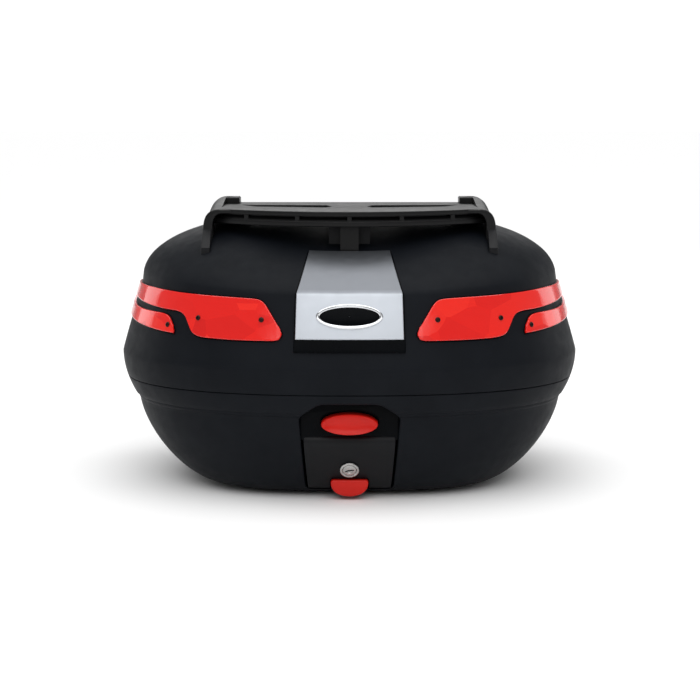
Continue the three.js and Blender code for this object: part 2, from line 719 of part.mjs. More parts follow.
// Lever that turns on the upper pin. Its nose points at the window in the striker and stops just short of it.
function lidHook() {
  const { y, z, top_z: topZ } = LID_HOOK;
  const tip = STRIKER.y + STRIKER.half_t + 0.5;
  const outline = polygon([
    [y - LEVER_HALF, z],
    [y - LEVER_HALF, topZ - 6],
    [tip, topZ - 5.5],
    [tip, topZ - 2.5],
    [y - LEVER_HALF, topZ],
    [y + LEVER_HALF, topZ],
    [y + LEVER_HALF, z],
  ]);
  const lever = extrudeAlongX(outline, -HOOK_HALF, HOOK_HALF);
  return build(lever, [rodX(-HOOK_HALF, HOOK_HALF, y, z, 6)], [rodX(-20, 20, y, z, PIN_R + PIN_CLEARANCE)]);
}

// Lever that turns on the lower pin. Its nose reaches down through the floor to hold the carrier plate.
function mountHook() {
  const { y, z, nose_z: noseZ } = MOUNT_HOOK;
  const outline = polygon([
    [y + LEVER_HALF, z],
    [y - LEVER_HALF, z],
    [y - LEVER_HALF, noseZ + 4],
    [y - 9, noseZ + 3],
    [y - 9, noseZ],
    [y + LEVER_HALF, noseZ],
  ]);
  const lever = extrudeAlongX(outline, -HOOK_HALF, HOOK_HALF);
  return build(lever, [rodX(-HOOK_HALF, HOOK_HALF, y, z, 6)], [rodX(-20, 20, y, z, PIN_R + PIN_CLEARANCE)]);
}

function hookPin({ y, z }) {
  return rodX(-CHASSIS_HALF - CHASSIS_THICK - 2, CHASSIS_HALF + CHASSIS_THICK + 2, y, z, PIN_R);
}

const CHASSIS_BACK_Y = BAY_BACK_Y - GAP;
const CHASSIS_WEB_Y = CHASSIS_BACK_Y - CHASSIS_THICK;

// U-shaped bracket whose two cheeks hold the hook pins. Its web backs on to the bay's cover.
function lockChassis() {
  const backY = CHASSIS_BACK_Y;
  const cheek = polygon([[backY, 32], [-137, 32], [-137, 56], [-142, 70], [-169, 72], [-170, 88], [backY, 88]]);
  const outer = CHASSIS_HALF + CHASSIS_THICK;
  const cheeks = [extrudeAlongX(cheek, -outer, -CHASSIS_HALF), extrudeAlongX(cheek, CHASSIS_HALF, outer)];
  const lowZ = COVER.low + COVER.opening + 1;
  const highZ = COVER.high - COVER.opening - 1;
  const web = box(-outer, outer, CHASSIS_WEB_Y, backY, lowZ, highZ);
  const holes = [LID_HOOK, MOUNT_HOOK].map(({ y, z }) => rodX(-30, 30, y, z, PIN_R + GAP));
  return build(web, cheeks, holes);
}

function bayCover() {
  const { half, low, high, thick } = COVER;
  const y = BAY_BACK_Y + GAP;
  const holes = coverScrewHoles(y - 1, y + thick + 1);
  return build(box(-half, half, y, y + thick, low, high), [], holes);
}

// Y of the striker's flange, just clear of the lid's wall from the shelf to the flange's top.
const STRIKER_WALL_Y =
  2 * GAP + WALL - Math.min(planAt(STRIKER.shelf_z).front, planAt(STRIKER.top_z).front);

function strikerHoles(y0, y1, sides) {
  const { x, z, shank_r: shankR } = STRIKER_SCREW;
  return [-1, 1].map((side) => rodY(side * x, y0, y1, z, shankR + GAP, sides));
}

// Bent steel plate on the lid: a flange on the lid's wall, a shelf, and a tongue with the hook's window.
function lidStriker() {
  const { y, half_t: t, half_w: w, low_z: low, shelf_z: shelf, top_z: top } = STRIKER;
  const wallY = STRIKER_WALL_Y;
  const outline = polygon([
    [y - t, low], [y + t, low], [y + t, shelf + 2 * t], [wallY + 2 * t, shelf + 2 * t],
    [wallY + 2 * t, top], [wallY, top], [wallY, shelf], [y - t, shelf],
  ]);
  const window = box(-HOOK_HALF - 2, HOOK_HALF + 2, y - 5, y + 5, LID_HOOK.top_z - 7, LID_HOOK.top_z - 0.5);
  const screwHoles = strikerHoles(-230, -190, 12);
  return build(extrudeAlongX(outline, -w, w), [], [window, ...screwHoles]);
}

const STRIKER_SCREW = { x: 7, z: 162, head_r: 2.8, head_h: 1.6, shank_r: 1.2, long: 6 };

// ---- case-release tab ---------------------------------------------------------------------------------------------

function releaseTab() {
  const { half_w: half, top_z: top, bottom_z: low } = TAB;
  const corner = 4;
  const bellyZ = mix(top, low, 0.7);
  const shape = new THREE.Shape();
  shape.moveTo(-half + corner, top);
  shape.quadraticCurveTo(-half, top, -half, top - corner);
  shape.bezierCurveTo(-half, bellyZ, -half * 0.6, low, 0, low);
  shape.bezierCurveTo(half * 0.6, low, half, bellyZ, half, top - corner);
  shape.quadraticCurveTo(half, top, half - corner, top);
  const stemEnd = MOUNT_HOOK.y - LEVER_HALF - 0.7;
  return extrudeAlongY(shape, TAB.front_y, TAB.back_y, 8).add(box(-7, 7, TAB.back_y - 1, stemEnd, 13, 18));
}

// ---- hinge ----------------------------------------------------------------------------------------------

// Y of the case's back, less an inset, at the hinge's outer end.
function hingeWallY(z, inset) {
  const plan = planAt(z, inset);
  const share = (HINGE.x + 1.5 * HINGE.knuckle_w) / plan.side;
  return plan.back * (1 - share ** BACK_ROUNDNESS) ** (1 / BACK_ROUNDNESS);
}

// Knuckles of one shell: side is -1 for the bottom shell's outer pairs and 1 for the lid's middle ones.
function hingeKnuckles(side) {
  const { y, z, x: hingeX, knuckle_r: r, knuckle_w: w, gap } = HINGE;
  const outerSpans = [[-1.5 * w - gap, -0.5 * w - gap], [0.5 * w + gap, 1.5 * w + gap]];
  const spans = side < 0 ? outerSpans : [[-0.5 * w, 0.5 * w]];
  const inWall = WALL * 0.6;
  const lowZ = NOTCH_Z + 2;
  const lowWeb = [[hingeWallY(lowZ, inWall), lowZ], [y, z - r], [y, z], [hingeWallY(z, inWall), z]];
  const highWeb = [
    [hingeWallY(SEAM_Z + 4, inWall), SEAM_Z + SEAM_GAP + 1.5], [y - r, z + 4.1], [y, z], [y + r * 0.9, z + 2.4],
    [hingeWallY(SEAM_Z + 22, inWall), SEAM_Z + 22],
  ];
  const pieces = [];
  for (const middle of [-hingeX, hingeX]) {
    for (const [from, to] of spans) {
      const arm = extrudeAlongX(polygon(side < 0 ? lowWeb : highWeb), middle + from, middle + to);
      const knuckle = rodX(middle + from, middle + to, y, z, r, 20).add(arm);
      pieces.push(knuckle.subtract(rodX(middle - 40, middle + 40, y, z, PIN_R + PIN_CLEARANCE)));
    }
  }
  return pieces;
}

function hingePin(middle) {
  const half = 1.5 * HINGE.knuckle_w + HINGE.gap + 1.5;
  return rodX(middle - half, middle + half, HINGE.y, HINGE.z, PIN_R);
}

// ---- lid ------------------------------------------------------------------------------------------------

// Height of the dome's underside over a point, found along a line down from above.
function domeHeight(x, y, inset) {
  const across = Math.atan2(y / CREASE.front, x / CREASE.side);
  let best = CREASE_Z;
  let nearest = Infinity;
  for (const climb of spread(0, Math.PI / 2, 90)) {
    for (const turn of spread(across - 0.5, across + 0.5, 60)) {
      const point = domePoint(climb, turn, inset);
      const off = Math.hypot(point.x - x, point.y - y);
      if (off < nearest) {
        nearest = off;
        best = point.z;
      }
    }
  }
  return best;
}

const RACK_BOSSES = RACK_SCREWS.map(([x, y]) => {
  const top = domeHeight(x, y, WALL);
  return { x, y, top, low: top - 14 };
});

function lidShell() {
  const bottomZ = SEAM_Z + SEAM_GAP;
  const filled = upperBody(0, bottomZ);
  const boss = ({ x, y, low }) => rodZ(x, y, low, DOME_TOP_Z, BOSS_R, 20).intersect(filled);
  const shell = build(filled, hingeKnuckles(1), [upperBody(WALL, bottomZ - 2, INNER)]);
  const screwHole = ({ x, y, low }) => rodZ(x, y, low - 1, DOME_TOP_Z, RACK_SCREW_R + GAP, 16);
  const { z: screwZ } = STRIKER_SCREW;
  const shallow = box(-20, 20, -240, -(planAt(screwZ).front - 0.9), screwZ - 8, screwZ + 8);
  return build(
    shell,
    RACK_BOSSES.map(boss),
    [
      ...RACK_BOSSES.map(screwHole),
      ...strikerHoles(-240, -200, 10).map((hole) => hole.subtract(shallow)),
      ...lensScrewHoles(),
    ],
  );
}

function rackScrew({ low }) {
  const screw = panScrew({ head_r: 6, head_h: 3, shank_r: RACK_SCREW_R, long: 30 });
  screw.rotateX(Math.PI);
  screw.translate(0, 0, low - GAP);
  return screw;
}

// ---- garnish and badge ----------------------------------------------------------------------------------

const FRONT_LEVELS = [
  ...spread(PANEL.low_z, CREASE_Z, 5).map((z) => ({ z })),
  ...spread(0, GARNISH_TOP_ANGLE, 6).slice(1).map((climb) => ({ climb })),
];

// Half-width of the silver panel at a level.
function panelHalf(level) {
  const { base_half: base, crease_half: crease, top_half: top, low_z: lowZ, taper } = PANEL;
  if (level.climb === undefined) return mix(base, crease, (level.z - lowZ) / (CREASE_Z - lowZ));
  return mix(crease, top, (level.climb / GARNISH_TOP_ANGLE) ** taper);
}

function garnish(levels, margin, from, thick) {
  const columns = levels.map((level) => {
    const half = panelHalf(level) + margin;
    return { at: level, low: -half, high: half };
  });
  return slab(columns, 4, (level, x, depth) => frontPoint(x, level, depth), from, from + thick);
}

const PANEL_FROM = CARRIER.from + CARRIER.thick + GAP;

// A slab of oval outline on the front, for the badge.
function ovalOnFront(halfW, halfH, z, from, thick) {
  const turns = spread(Math.PI * 0.06, Math.PI * 0.94, 16);
  const columns = turns.map((turn) => {
    const rise = halfH * Math.sin(turn);
    return { at: -halfW * Math.cos(turn), low: z - rise, high: z + rise };
  });
  return slab(columns, 2, (x, height, depth) => frontPoint(x, { z: height }, depth), from, from + thick);
}

// ---- reflectors -----------------------------------------------------------------------------------------

// Value of a broken line of [at, value] points.
function along(line, at) {
  const i = Math.max(1, line.findIndex(([u]) => u >= at));
  const [u0, v0] = line[i - 1];
  const [u1, v1] = line[i];
  return mix(v0, v1, (at - u0) / (u1 - u0));
}

function lensStations({ top, bottom }) {
  const corners = [...new Set([...top, ...bottom].map(([u]) => u))].sort((a, b) => a - b);
  const wide = corners.flatMap((u, i) => {
    const next = corners[i + 1] ?? u;
    const steps = Math.max(1, Math.ceil((next - u) / LENS_STEP));
    return spread(u, next, steps).slice(0, -1);
  });
  return [...wide, corners.at(-1)];
}

function reflector(outline) {
  const columns = lensStations(outline).map((u) => ({
    at: u,
    low: along(outline.bottom, u),
    high: along(outline.top, u),
  }));
  return solidOf(slab(columns, 1, sidePoint, LENS_FROM, LENS_FROM + LENS_THICK));
}

const mirrored = (solid, side) => (side < 0 ? solid : solid.mirror([1, 0, 0]));

function lensHole([round, z], from, to, radius) {
  return rod(sidePoint(round, z, from), sidePoint(round, z, to), radius, 12);
}

function lensScrewHoles() {
  const spots = [...UPPER_LENS_SCREWS, ...LOWER_LENS_SCREWS];
  const holes = spots.map((spot) => lensHole(spot, -WALL - 4, 3, LENS_SCREW.shank_r + GAP));
  return [...holes, ...holes.map((hole) => mirrored(hole, 1))];
}

function placeLens(name, outline, screws, side, label) {
  const holes = screws.map((spot) => lensHole(spot, -2, 8, LENS_SCREW.shank_r + GAP));
  place(name, mirrored(build(reflector(outline), [], holes), side), lensRed);
  screws.forEach(([round, z], i) => {
    const { point, out } = sideFrame(round, z);
    point.addScaledVector(out, LENS_FROM + LENS_THICK + GAP);
    point.x *= -side;
    out.x *= -side;
    const screw = place(`reflector_screw_${label}_${i + 1}`, panScrew(LENS_SCREW), zinc);
    aim(screw, point, out);
  });
}

// ---- rack -----------------------------------------------------------------------------------------------

// Plan of the rack between its bowed front edge and its rear edge, less an inset at the front.
function rackPlan(inset, rearY) {
  const shape = new THREE.Shape();
  const half = RACK.half_w;
  const bow = 2 * RACK.front_y - RACK.end_y;
  const round = 14;
  shape.moveTo(-half, RACK.end_y + inset);
  shape.quadraticCurveTo(0, bow + inset, half, RACK.end_y + inset);
  shape.lineTo(half, rearY - round);
  shape.quadraticCurveTo(half, rearY, half - round, rearY);
  shape.lineTo(-half + round, rearY);
  shape.quadraticCurveTo(-half, rearY, -half, rearY - round);
  return shape;
}

// Y of the rack's bowed front edge at a distance from the middle.
const bowY = (x) => mix(RACK.front_y, RACK.end_y, (x / RACK.half_w) ** 2);

function frontBand(from, to, z0, z1) {
  const behind = extrudeUp(rackPlan(to, RACK.rear_y + 5), z0 - 1, z1 + 1, 10);
  return extrudeUp(rackPlan(from, RACK.rear_y), z0, z1, 10).subtract(behind);
}

// Control points of the rounded shoulder of a leg, block or rail whose top is at a height.
const shoulder = (top) =>
  RACK_SHOULDER.map(([inward, down]) => new THREE.Vector2(RACK_LEG.half_w - inward, top - down));

// A front leg in the (x, z) plane, with its bend into the deck.
function legShape() {
  const { half_w: outer, thick } = RACK_LEG;
  const top = RACK_TOP_Z;
  const inner = outer - thick - 1;
  const under = top - BAR.lip;
  const [edge, ...bend] = shoulder(top);
  const shape = new THREE.Shape();
  shape.moveTo(outer, CREASE_Z);
  shape.lineTo(edge.x, edge.y);
  shape.bezierCurveTo(...bend.flatMap((p) => [p.x, p.y]));
  shape.lineTo(RACK_BLOCK.inner_x, top);
  shape.lineTo(RACK_BLOCK.inner_x, under);
  shape.lineTo(inner - 10, under);
  shape.quadraticCurveTo(inner, under - 1, inner, under - 14);
  shape.lineTo(inner + 1, CREASE_Z);
  return shape;
}

function rearBlockShape() {
  const { inner_x: inner, rise } = RACK_BLOCK;
  const top = RACK_TOP_Z + rise;
  const outer = RACK_LEG.half_w;
  const [edge, low, high, flat] = shoulder(top);
  const shape = new THREE.Shape();
  shape.moveTo(inner, RACK_TOP_Z - 8);
  shape.lineTo(inner, top - 1.5);
  shape.lineTo(inner + 1.5, top);
  shape.lineTo(flat.x, top);
  shape.bezierCurveTo(high.x, high.y, low.x, low.y, edge.x, edge.y);
  shape.lineTo(outer - 6, CREASE_Z);
  shape.lineTo(inner, CREASE_Z);
  return shape;
}

// Height of the side rails' top: level with the deck at the legs, and with the corner blocks at the rear.
function railTop(y) {
  const share = THREE.MathUtils.smoothstep(y, RACK_LEG.rear_y, RACK_BLOCK.front_y);
  return RACK_TOP_Z + RACK_BLOCK.rise * share;
}

// A point in from a side rail's rounded outer face. Turn goes from 0 at its lower edge to 1 on the deck.
function railPoint(y, turn, depth) {
  const bend = new THREE.CubicBezierCurve(...shoulder(railTop(y)));
  const point = bend.getPoint(turn);
  const tangent = bend.getTangent(turn);
  return new THREE.Vector3(point.x + depth * tangent.y, y, point.y - depth * tangent.x);
}

function sideRail() {
  const overlap = 4;
  const ys = spread(RACK_LEG.rear_y - overlap, RACK_BLOCK.front_y + overlap, 8);
  const columns = ys.map((y) => ({ at: y, low: 0, high: 1 }));
  return solidOf(slab(columns, 6, railPoint, -RAIL_THICK, -0.01));
}

// One strap opening of the deck, on the right.
function strapSlotShape() {
  const { front, bend, tip, rear, inner_x: inner } = RACK_SLOT;
  const shape = new THREE.Shape();
  shape.moveTo(...front);
  shape.lineTo(...bend);
  shape.lineTo(...tip);
  shape.lineTo(...rear);
  shape.quadraticCurveTo(inner, (front[1] + rear[1]) / 2, ...front);
  return shape;
}

function luggageRack() {
  const { plate, rear_y: rearY, deck_half: deckHalf } = RACK;
  const top = RACK_TOP_Z;
  const bottom = top - BAR.high;
  const inDeck = box(-deckHalf, deckHalf, -200, 200, top - 50, top + 50);
  const deck = extrudeUp(rackPlan(0, rearY), top - plate, top, 10).intersect(inDeck);
  const skirt = frontBand(0, BAR.depth, bottom, bottom + BAR.skirt_high);
  const back = frontBand(BAR.groove_depth, BAR.depth, bottom, top - 1);
  const edge = frontBand(0, BAR.depth, top - BAR.lip, top).intersect(inDeck);
  const ribs = spread(-2, 2, 4).map((step) => {
    const x = step * RACK_RIB_PITCH;
    const half = RACK_RIB_W / 2;
    return box(x - half, x + half, bowY(x) + 1.2, bowY(x) + BAR.depth - 1, bottom + 1, top - 1);
  });
  const shoe = polygon(RACK_SHOE.map(([y, down]) => [y, top - down]));
  const legInner = RACK_LEG.half_w - RACK_LEG.thick;
  const standing = [
    extrudeAlongY(legShape(), RACK_LEG.front_y, RACK_LEG.rear_y),
    extrudeAlongX(shoe, legInner + 0.5, RACK_LEG.half_w - 0.5),
    extrudeAlongY(rearBlockShape(), RACK_BLOCK.front_y, rearY),
    sideRail(),
  ];
  const sides = standing.flatMap((piece) => [piece, mirrored(piece, 1)]);
  const pillar = box(-PILLAR.half_w, PILLAR.half_w, PILLAR.front_y, -60, CREASE_Z, top - 1);
  const { half_w: wingHalf, front_y: wingFront, rear_y: wingRear } = PILLAR_WING;
  const wings = box(-wingHalf, wingHalf, wingFront, wingRear, CREASE_Z, top - 1);
  const barHalf = RACK_BLOCK.inner_x + 4;
  const rearBar = box(-barHalf, barHalf, rearY - 6, rearY - 1, top - 12, top - 1);
  const slot = extrudeUp(strapSlotShape(), top - plate - 20, top + 5);
  const blockSlot = box(152, 165, 56, 66, top + RACK_BLOCK.rise - 6, top + RACK_BLOCK.rise + 2);
  const seat = upperBody(-RACK_SEAT, SEAM_Z);
  const screwHoles = RACK_BOSSES.map(({ x, y, low }) => rodZ(x, y, low, low + 31, RACK_SCREW_R + GAP, 16));
  return build(
    deck,
    [skirt, back, edge, ...ribs, ...sides, rearBar],
    [slot, mirrored(slot, 1), blockSlot, mirrored(blockSlot, 1), seat, ...screwHoles],
  ).add(build(pillar, [wings], [seat]));
}

// ---- seal and feet --------------------------------------------------------------------------------------

function rimSeal() {
  const low = SEAM_Z - SEAL_DEPTH;
  const high = SEAM_Z + SEAL_RISE;
  const inset = WALL + GAP + 0.2;
  const thick = 3;
  const filled = (zs, by) => {
    const middles = [zs[0], zs.at(-1)].map((z) => new THREE.Vector3(0, 0, z));
    return solidOf(loft(zs.map((z) => ringAt(z, by)), ...middles));
  };
  return filled([low, SEAM_Z, high], inset).subtract(filled([low - 1, high + 1], inset + thick));
}

function foot() {
  const top = FLOOR_Z - GAP;
  const studTop = top + WALL;
  const profile = [
    [0, 0],
    [FOOT_R - 1.5, 0],
    [FOOT_R, 1.5],
    [FOOT_R, top],
    [FOOT_STUD_R, top],
    [FOOT_STUD_R, studTop],
    [0, studTop],
  ];
  return turned(profile, 18);
}

// ---- springs --------------------------------------------------------------------------------------------

// Coil spring along Y from y0 to y1, with round turns.
function coil(x, z, y0, y1, radius, wire, turns) {
  const perTurn = 8;
  const points = spread(0, turns * 2 * Math.PI, turns * perTurn).map((a) => {
    const share = a / (turns * 2 * Math.PI);
    return new THREE.Vector3(x + radius * Math.cos(a), mix(y0, y1, share), z + radius * Math.sin(a));
  });
  const path = new THREE.CatmullRomCurve3(points);
  const section = new THREE.Shape();
  section.absarc(0, 0, wire, 0, 2 * Math.PI);
  return new THREE.ExtrudeGeometry(section, {
    steps: turns * perTurn,
    extrudePath: path,
    curveSegments: 2,
    bevelEnabled: false,
  });
}

// ---- the whole case -------------------------------------------------------------------------------------

// Return springs of the two hooks, between their levers and the chassis web.
function hookSpring({ y }, z, radius, turns) {
  const wire = 0.7;
  const room = GAP + wire;
  return coil(0, z, y + LEVER_HALF + room, CHASSIS_WEB_Y - room, radius, wire, turns);
}

place("bottom_shell", bottomShell(), shellBlack);
place("rim_seal", rimSeal(), rubber);
FEET.forEach(([x, y], i) => {
  place(`rubber_foot_${i + 1}`, foot(), rubber).position.set(x, y, 0);
});
place("lock_face_plate", facePlate(), lockBlack);
place("button_bezel", buttonBezel(), glossBlack);
place("lock_chassis", lockChassis(), zinc);
place("latch_pin", hookPin(LID_HOOK), steel);
place("mount_latch_pin", hookPin(MOUNT_HOOK), steel);
place("lock_bay_cover", bayCover(), lockBlack);
COVER_SCREW_SPOTS.forEach(([x, z], i) => {
  const screw = place(`cover_screw_${i + 1}`, panScrew(COVER_SCREW), zinc);
  aim(screw, new THREE.Vector3(x, BAY_BACK_Y + GAP * 2 + COVER.thick, z), new THREE.Vector3(0, 1, 0));
});
place("lock_barrel", lockBarrel(), chrome, keyLock);
place("barrel_nut", barrelNut(), zinc, keyLock);
place("key_plug", keyPlug(), steel, keyLock);
place("lock_cam", lockCam(), zinc, keyLock);
place("cam_screw", camScrew(), zinc, keyLock);
place("lid_release_button", lidButton(), buttonRed);
place("lid_latch_hook", lidHook(), zinc);
place("case_release_tab", releaseTab(), buttonRed);
place("mount_latch_hook", mountHook(), zinc);
place("lid_hook_spring", hookSpring(LID_HOOK, BUTTON.z, 5, 5), steel);
place("mount_hook_spring", hookSpring(MOUNT_HOOK, 29, 3.5, 3), steel);
place("hinge_pin_left", hingePin(-HINGE.x), steel);
place("hinge_pin_right", hingePin(HINGE.x), steel);

place("lid_shell", lidShell(), shellBlack);
place("luggage_rack", luggageRack(), rackBlack);
RACK_BOSSES.forEach((boss, i) => {
  place(`rack_screw_${i + 1}`, rackScrew(boss), zinc).position.set(boss.x, boss.y, 0);
});
const CARRIER_LEVELS = [{ z: CARRIER.low_z }, ...FRONT_LEVELS];
const carrier = garnish(CARRIER_LEVELS, CARRIER.margin, CARRIER.from, CARRIER.thick);
place("garnish_carrier", carrier, glossBlack);
place("garnish_panel", garnish(FRONT_LEVELS, 0, PANEL_FROM, PANEL.thick), silver);
const BADGE_FROM = PANEL_FROM + PANEL.thick + GAP;
place("badge_rim", ovalOnFront(BADGE.half_w, BADGE.half_h, BADGE.z, BADGE_FROM, BADGE.thick), chrome);
place(
  "badge_plate",
  ovalOnFront(
    BADGE_PLATE.half_w,
    BADGE_PLATE.half_h,
    BADGE.z,
    BADGE_FROM + BADGE.thick + GAP,
    BADGE_PLATE.thick,
  ),
  glossBlack,
);
for (const side of [-1, 1]) {
  const word = side < 0 ? "left" : "right";
  placeLens(`upper_reflector_${word}`, UPPER_LENS, UPPER_LENS_SCREWS, side, `upper_${word}`);
  placeLens(`lower_reflector_${word}`, LOWER_LENS, LOWER_LENS_SCREWS, side, `lower_${word}`);
}
place("lid_striker", lidStriker(), zinc);
for (const side of [-1, 1]) {
  const screw = place(side < 0 ? "striker_screw_left" : "striker_screw_right", panScrew(STRIKER_SCREW), zinc);
  const flangeY = STRIKER_WALL_Y + 2 * STRIKER.half_t + GAP;
  aim(screw, new THREE.Vector3(side * STRIKER_SCREW.x, flangeY, STRIKER_SCREW.z), new THREE.Vector3(0, 1, 0));
}

export default topCase;
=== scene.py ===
import json
import math

import bmesh
import bpy
import numpy as np
from mathutils import Matrix, Vector

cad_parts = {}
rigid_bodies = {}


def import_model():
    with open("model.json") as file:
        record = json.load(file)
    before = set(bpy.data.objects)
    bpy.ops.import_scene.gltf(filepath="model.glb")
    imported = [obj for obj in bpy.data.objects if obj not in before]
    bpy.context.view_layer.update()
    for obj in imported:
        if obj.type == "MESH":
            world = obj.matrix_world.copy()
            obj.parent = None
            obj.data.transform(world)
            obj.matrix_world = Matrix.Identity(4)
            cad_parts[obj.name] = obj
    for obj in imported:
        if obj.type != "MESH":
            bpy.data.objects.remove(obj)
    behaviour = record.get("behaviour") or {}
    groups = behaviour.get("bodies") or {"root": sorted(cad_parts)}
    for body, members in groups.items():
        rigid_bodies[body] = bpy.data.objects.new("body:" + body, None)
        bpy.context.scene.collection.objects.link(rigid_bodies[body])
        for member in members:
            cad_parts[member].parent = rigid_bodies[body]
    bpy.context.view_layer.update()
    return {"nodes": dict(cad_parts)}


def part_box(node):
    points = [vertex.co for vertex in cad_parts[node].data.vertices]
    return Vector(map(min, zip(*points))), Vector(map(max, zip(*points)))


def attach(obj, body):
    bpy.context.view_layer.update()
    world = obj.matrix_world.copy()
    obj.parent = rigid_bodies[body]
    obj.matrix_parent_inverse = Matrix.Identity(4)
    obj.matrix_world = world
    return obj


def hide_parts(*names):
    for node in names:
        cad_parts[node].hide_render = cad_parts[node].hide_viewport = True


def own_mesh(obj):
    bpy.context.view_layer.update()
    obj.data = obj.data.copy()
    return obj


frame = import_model()

# Lengths are in millimetres until a mesh is made.
MM = 0.001

# ---- sizes, from the frame --------------------------------------------------------------------------------


def node_box(name):
    """Lowest and highest corner of a CAD node, in millimetres."""
    low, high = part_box(name)
    return np.array(low) / MM, np.array(high) / MM


LID_LOW, LID_HIGH = node_box("lid_shell")
TRAY_LOW, _ = node_box("bottom_shell")
RACK_LOW, RACK_HIGH = node_box("luggage_rack")
PLATE_LOW, PLATE_HIGH = node_box("lock_face_plate")
BUTTON_LOW, BUTTON_HIGH = node_box("lid_release_button")
TAB_LOW, TAB_HIGH = node_box("case_release_tab")
BEZEL_LOW, BEZEL_HIGH = node_box("button_bezel")
PANEL_LOW, PANEL_HIGH = node_box("garnish_panel")
CARRIER_LOW, _ = node_box("garnish_carrier")
BADGE_LOW, BADGE_HIGH = node_box("badge_rim")
PIN_LOW, PIN_HIGH = node_box("hinge_pin_right")
SEAL_LOW, _ = node_box("rim_seal")
COVER_LOW, _ = node_box("lock_bay_cover")

FLOOR_Z = TRAY_LOW[2]
SEAM_Z = SEAL_LOW[2] + 5
LID_BOTTOM_Z = SEAM_Z + 0.6
DOME_TOP_Z = LID_HIGH[2]
BAY_BACK_Y = COVER_LOW[1] - 0.3
WIDEST_Z = 165.0
CREASE_Z = DOME_TOP_Z - 84
NOTCH_Z = 107.0
WALL = 3.5

# Half-widths and half-depths of the plan: side, front, back. They step in from the lid's widest level.
WIDEST = np.array([LID_HIGH[0], -LID_LOW[1], -LID_LOW[1] - 9])
CREASE = WIDEST - (26, 21, 10)
BAND = WIDEST - (19, 11, 10)
NOTCH = BAND - (1.3, 4, 4)
BASE = WIDEST - (107, 72, 64)
FRONT_ROUNDNESS = 2.34
BACK_ROUNDNESS = 3.2
BASE_FRONT_ROUNDNESS = 3.0
TAPER_ROUNDNESS = 1.5
UPPER_LEAN = 1.06
DOME_SIDE, DOME_FRONT, DOME_BACK = 2.45, 1.3, 2.4
AROUND = 240

# ---- the case's surface -----------------------------------------------------------------------------------


def mix(low, high, share):
    return low + (high - low) * share


def power(value, exponent):
    return np.sign(value) * np.abs(value) ** exponent


def sizes_at(z):
    """Side half-width and front and back half-depths from the notch up to the crease."""
    z = np.asarray(z, float)
    low = np.clip((WIDEST_Z - z) / (WIDEST_Z - NOTCH_Z), 0, 1) ** 2
    high = np.clip((z - WIDEST_Z) / (CREASE_Z - WIDEST_Z), 0, None) ** UPPER_LEAN
    low, high = low[..., None], high[..., None]
    return np.where(z[..., None] < WIDEST_Z, mix(WIDEST, BAND, low), mix(WIDEST, CREASE, high))


def taper_at(rise):
    """Sizes and front roundness of the lower body, from 0 at its base to 1 at the notch."""
    swell = (1 - (1 - rise) ** TAPER_ROUNDNESS) ** (1 / TAPER_ROUNDNESS)
    return mix(BASE, NOTCH, swell), mix(BASE_FRONT_ROUNDNESS, FRONT_ROUNDNESS, swell)


def plan_ring(sizes, angles, z, roundness=FRONT_ROUNDNESS):
    """Points of a plan at angles from +X."""
    side, front, back = sizes
    s = np.sin(angles)
    n = np.where(s < 0, roundness, BACK_ROUNDNESS)
    x = side * power(np.cos(angles), 2 / n)
    y = np.where(s < 0, front, back) * power(s, 2 / n)
    return np.stack([x, y, np.full_like(x, z)], -1)


def dome_ring(climb, angles, inset=0.0):
    """Points of the dome: climb goes from 0 at the crease to a quarter turn at the top."""
    s = np.sin(angles)
    exponent = mix(DOME_SIDE, np.where(s < 0, DOME_FRONT, DOME_BACK), np.abs(s) ** 1.5)
    shrink = np.maximum(0.0, np.cos(climb)) ** (2 / exponent)
    rise = np.sin(climb) ** (2 / exponent)
    ring = plan_ring(CREASE - inset, angles, 0.0)
    return np.stack([ring[:, 0] * shrink, ring[:, 1] * shrink, mix(CREASE_Z, DOME_TOP_Z - inset, rise)], -1)


ANGLES = np.linspace(0, 2 * np.pi, AROUND, endpoint=False)
FRONT = 1.5 * np.pi
_TURNS = FRONT + np.linspace(0, 1.2, 500)


def front_row(xs, level):
    """Points of the front at distances from the middle. A level is ("z", height) or ("climb", angle)."""
    kind, value = level
    if kind == "z":
        side, front, _ = sizes_at(value)
        ys = -front * (1 - np.abs(xs / side) ** FRONT_ROUNDNESS) ** (1 / FRONT_ROUNDNESS)
        return np.stack([xs, ys, np.full_like(xs, value)], -1)
    ring = dome_ring(value, _TURNS)
    at = np.abs(xs)
    return np.stack([xs, np.interp(at, ring[:, 0], ring[:, 1]), np.interp(at, ring[:, 0], ring[:, 2])], -1)


def bezier(control, steps):
    """Points of a quadratic or cubic curve through its first and last control points."""
    control = [np.asarray(point, float) for point in control]
    points = []
    for t in np.linspace(0, 1, steps):
        if len(control) == 3:
            weights = ((1 - t) ** 2, 2 * t * (1 - t), t ** 2)
        else:
            weights = ((1 - t) ** 3, 3 * t * (1 - t) ** 2, 3 * t ** 2 * (1 - t), t ** 3)
        points.append(sum(weight * point for weight, point in zip(weights, control)))
    return points


def middle_of(name):
    """The middle of a CAD node's box."""
    low, high = node_box(name)
    return (low + high) / 2


def unit(vectors):
    return vectors / np.linalg.norm(vectors, axis=-1, keepdims=True)


def front_out(xs, level):
    """Directions out of the front at the same points. Over the crease the two faces share theirs."""
    kind, value = level
    across = front_row(xs + 0.4, level) - front_row(xs - 0.4, level)
    climb = max(value, 0.004) if kind == "climb" else 0.004
    over = unit(np.cross(across, front_row(xs, ("climb", climb + 0.02)) - front_row(xs, ("climb", climb))))
    if kind == "climb":
        return over
    up = unit(np.cross(across, front_row(xs, level) - front_row(xs, ("z", value - 0.4))))
    return unit(up + over) if value >= CREASE_Z - 0.01 else up


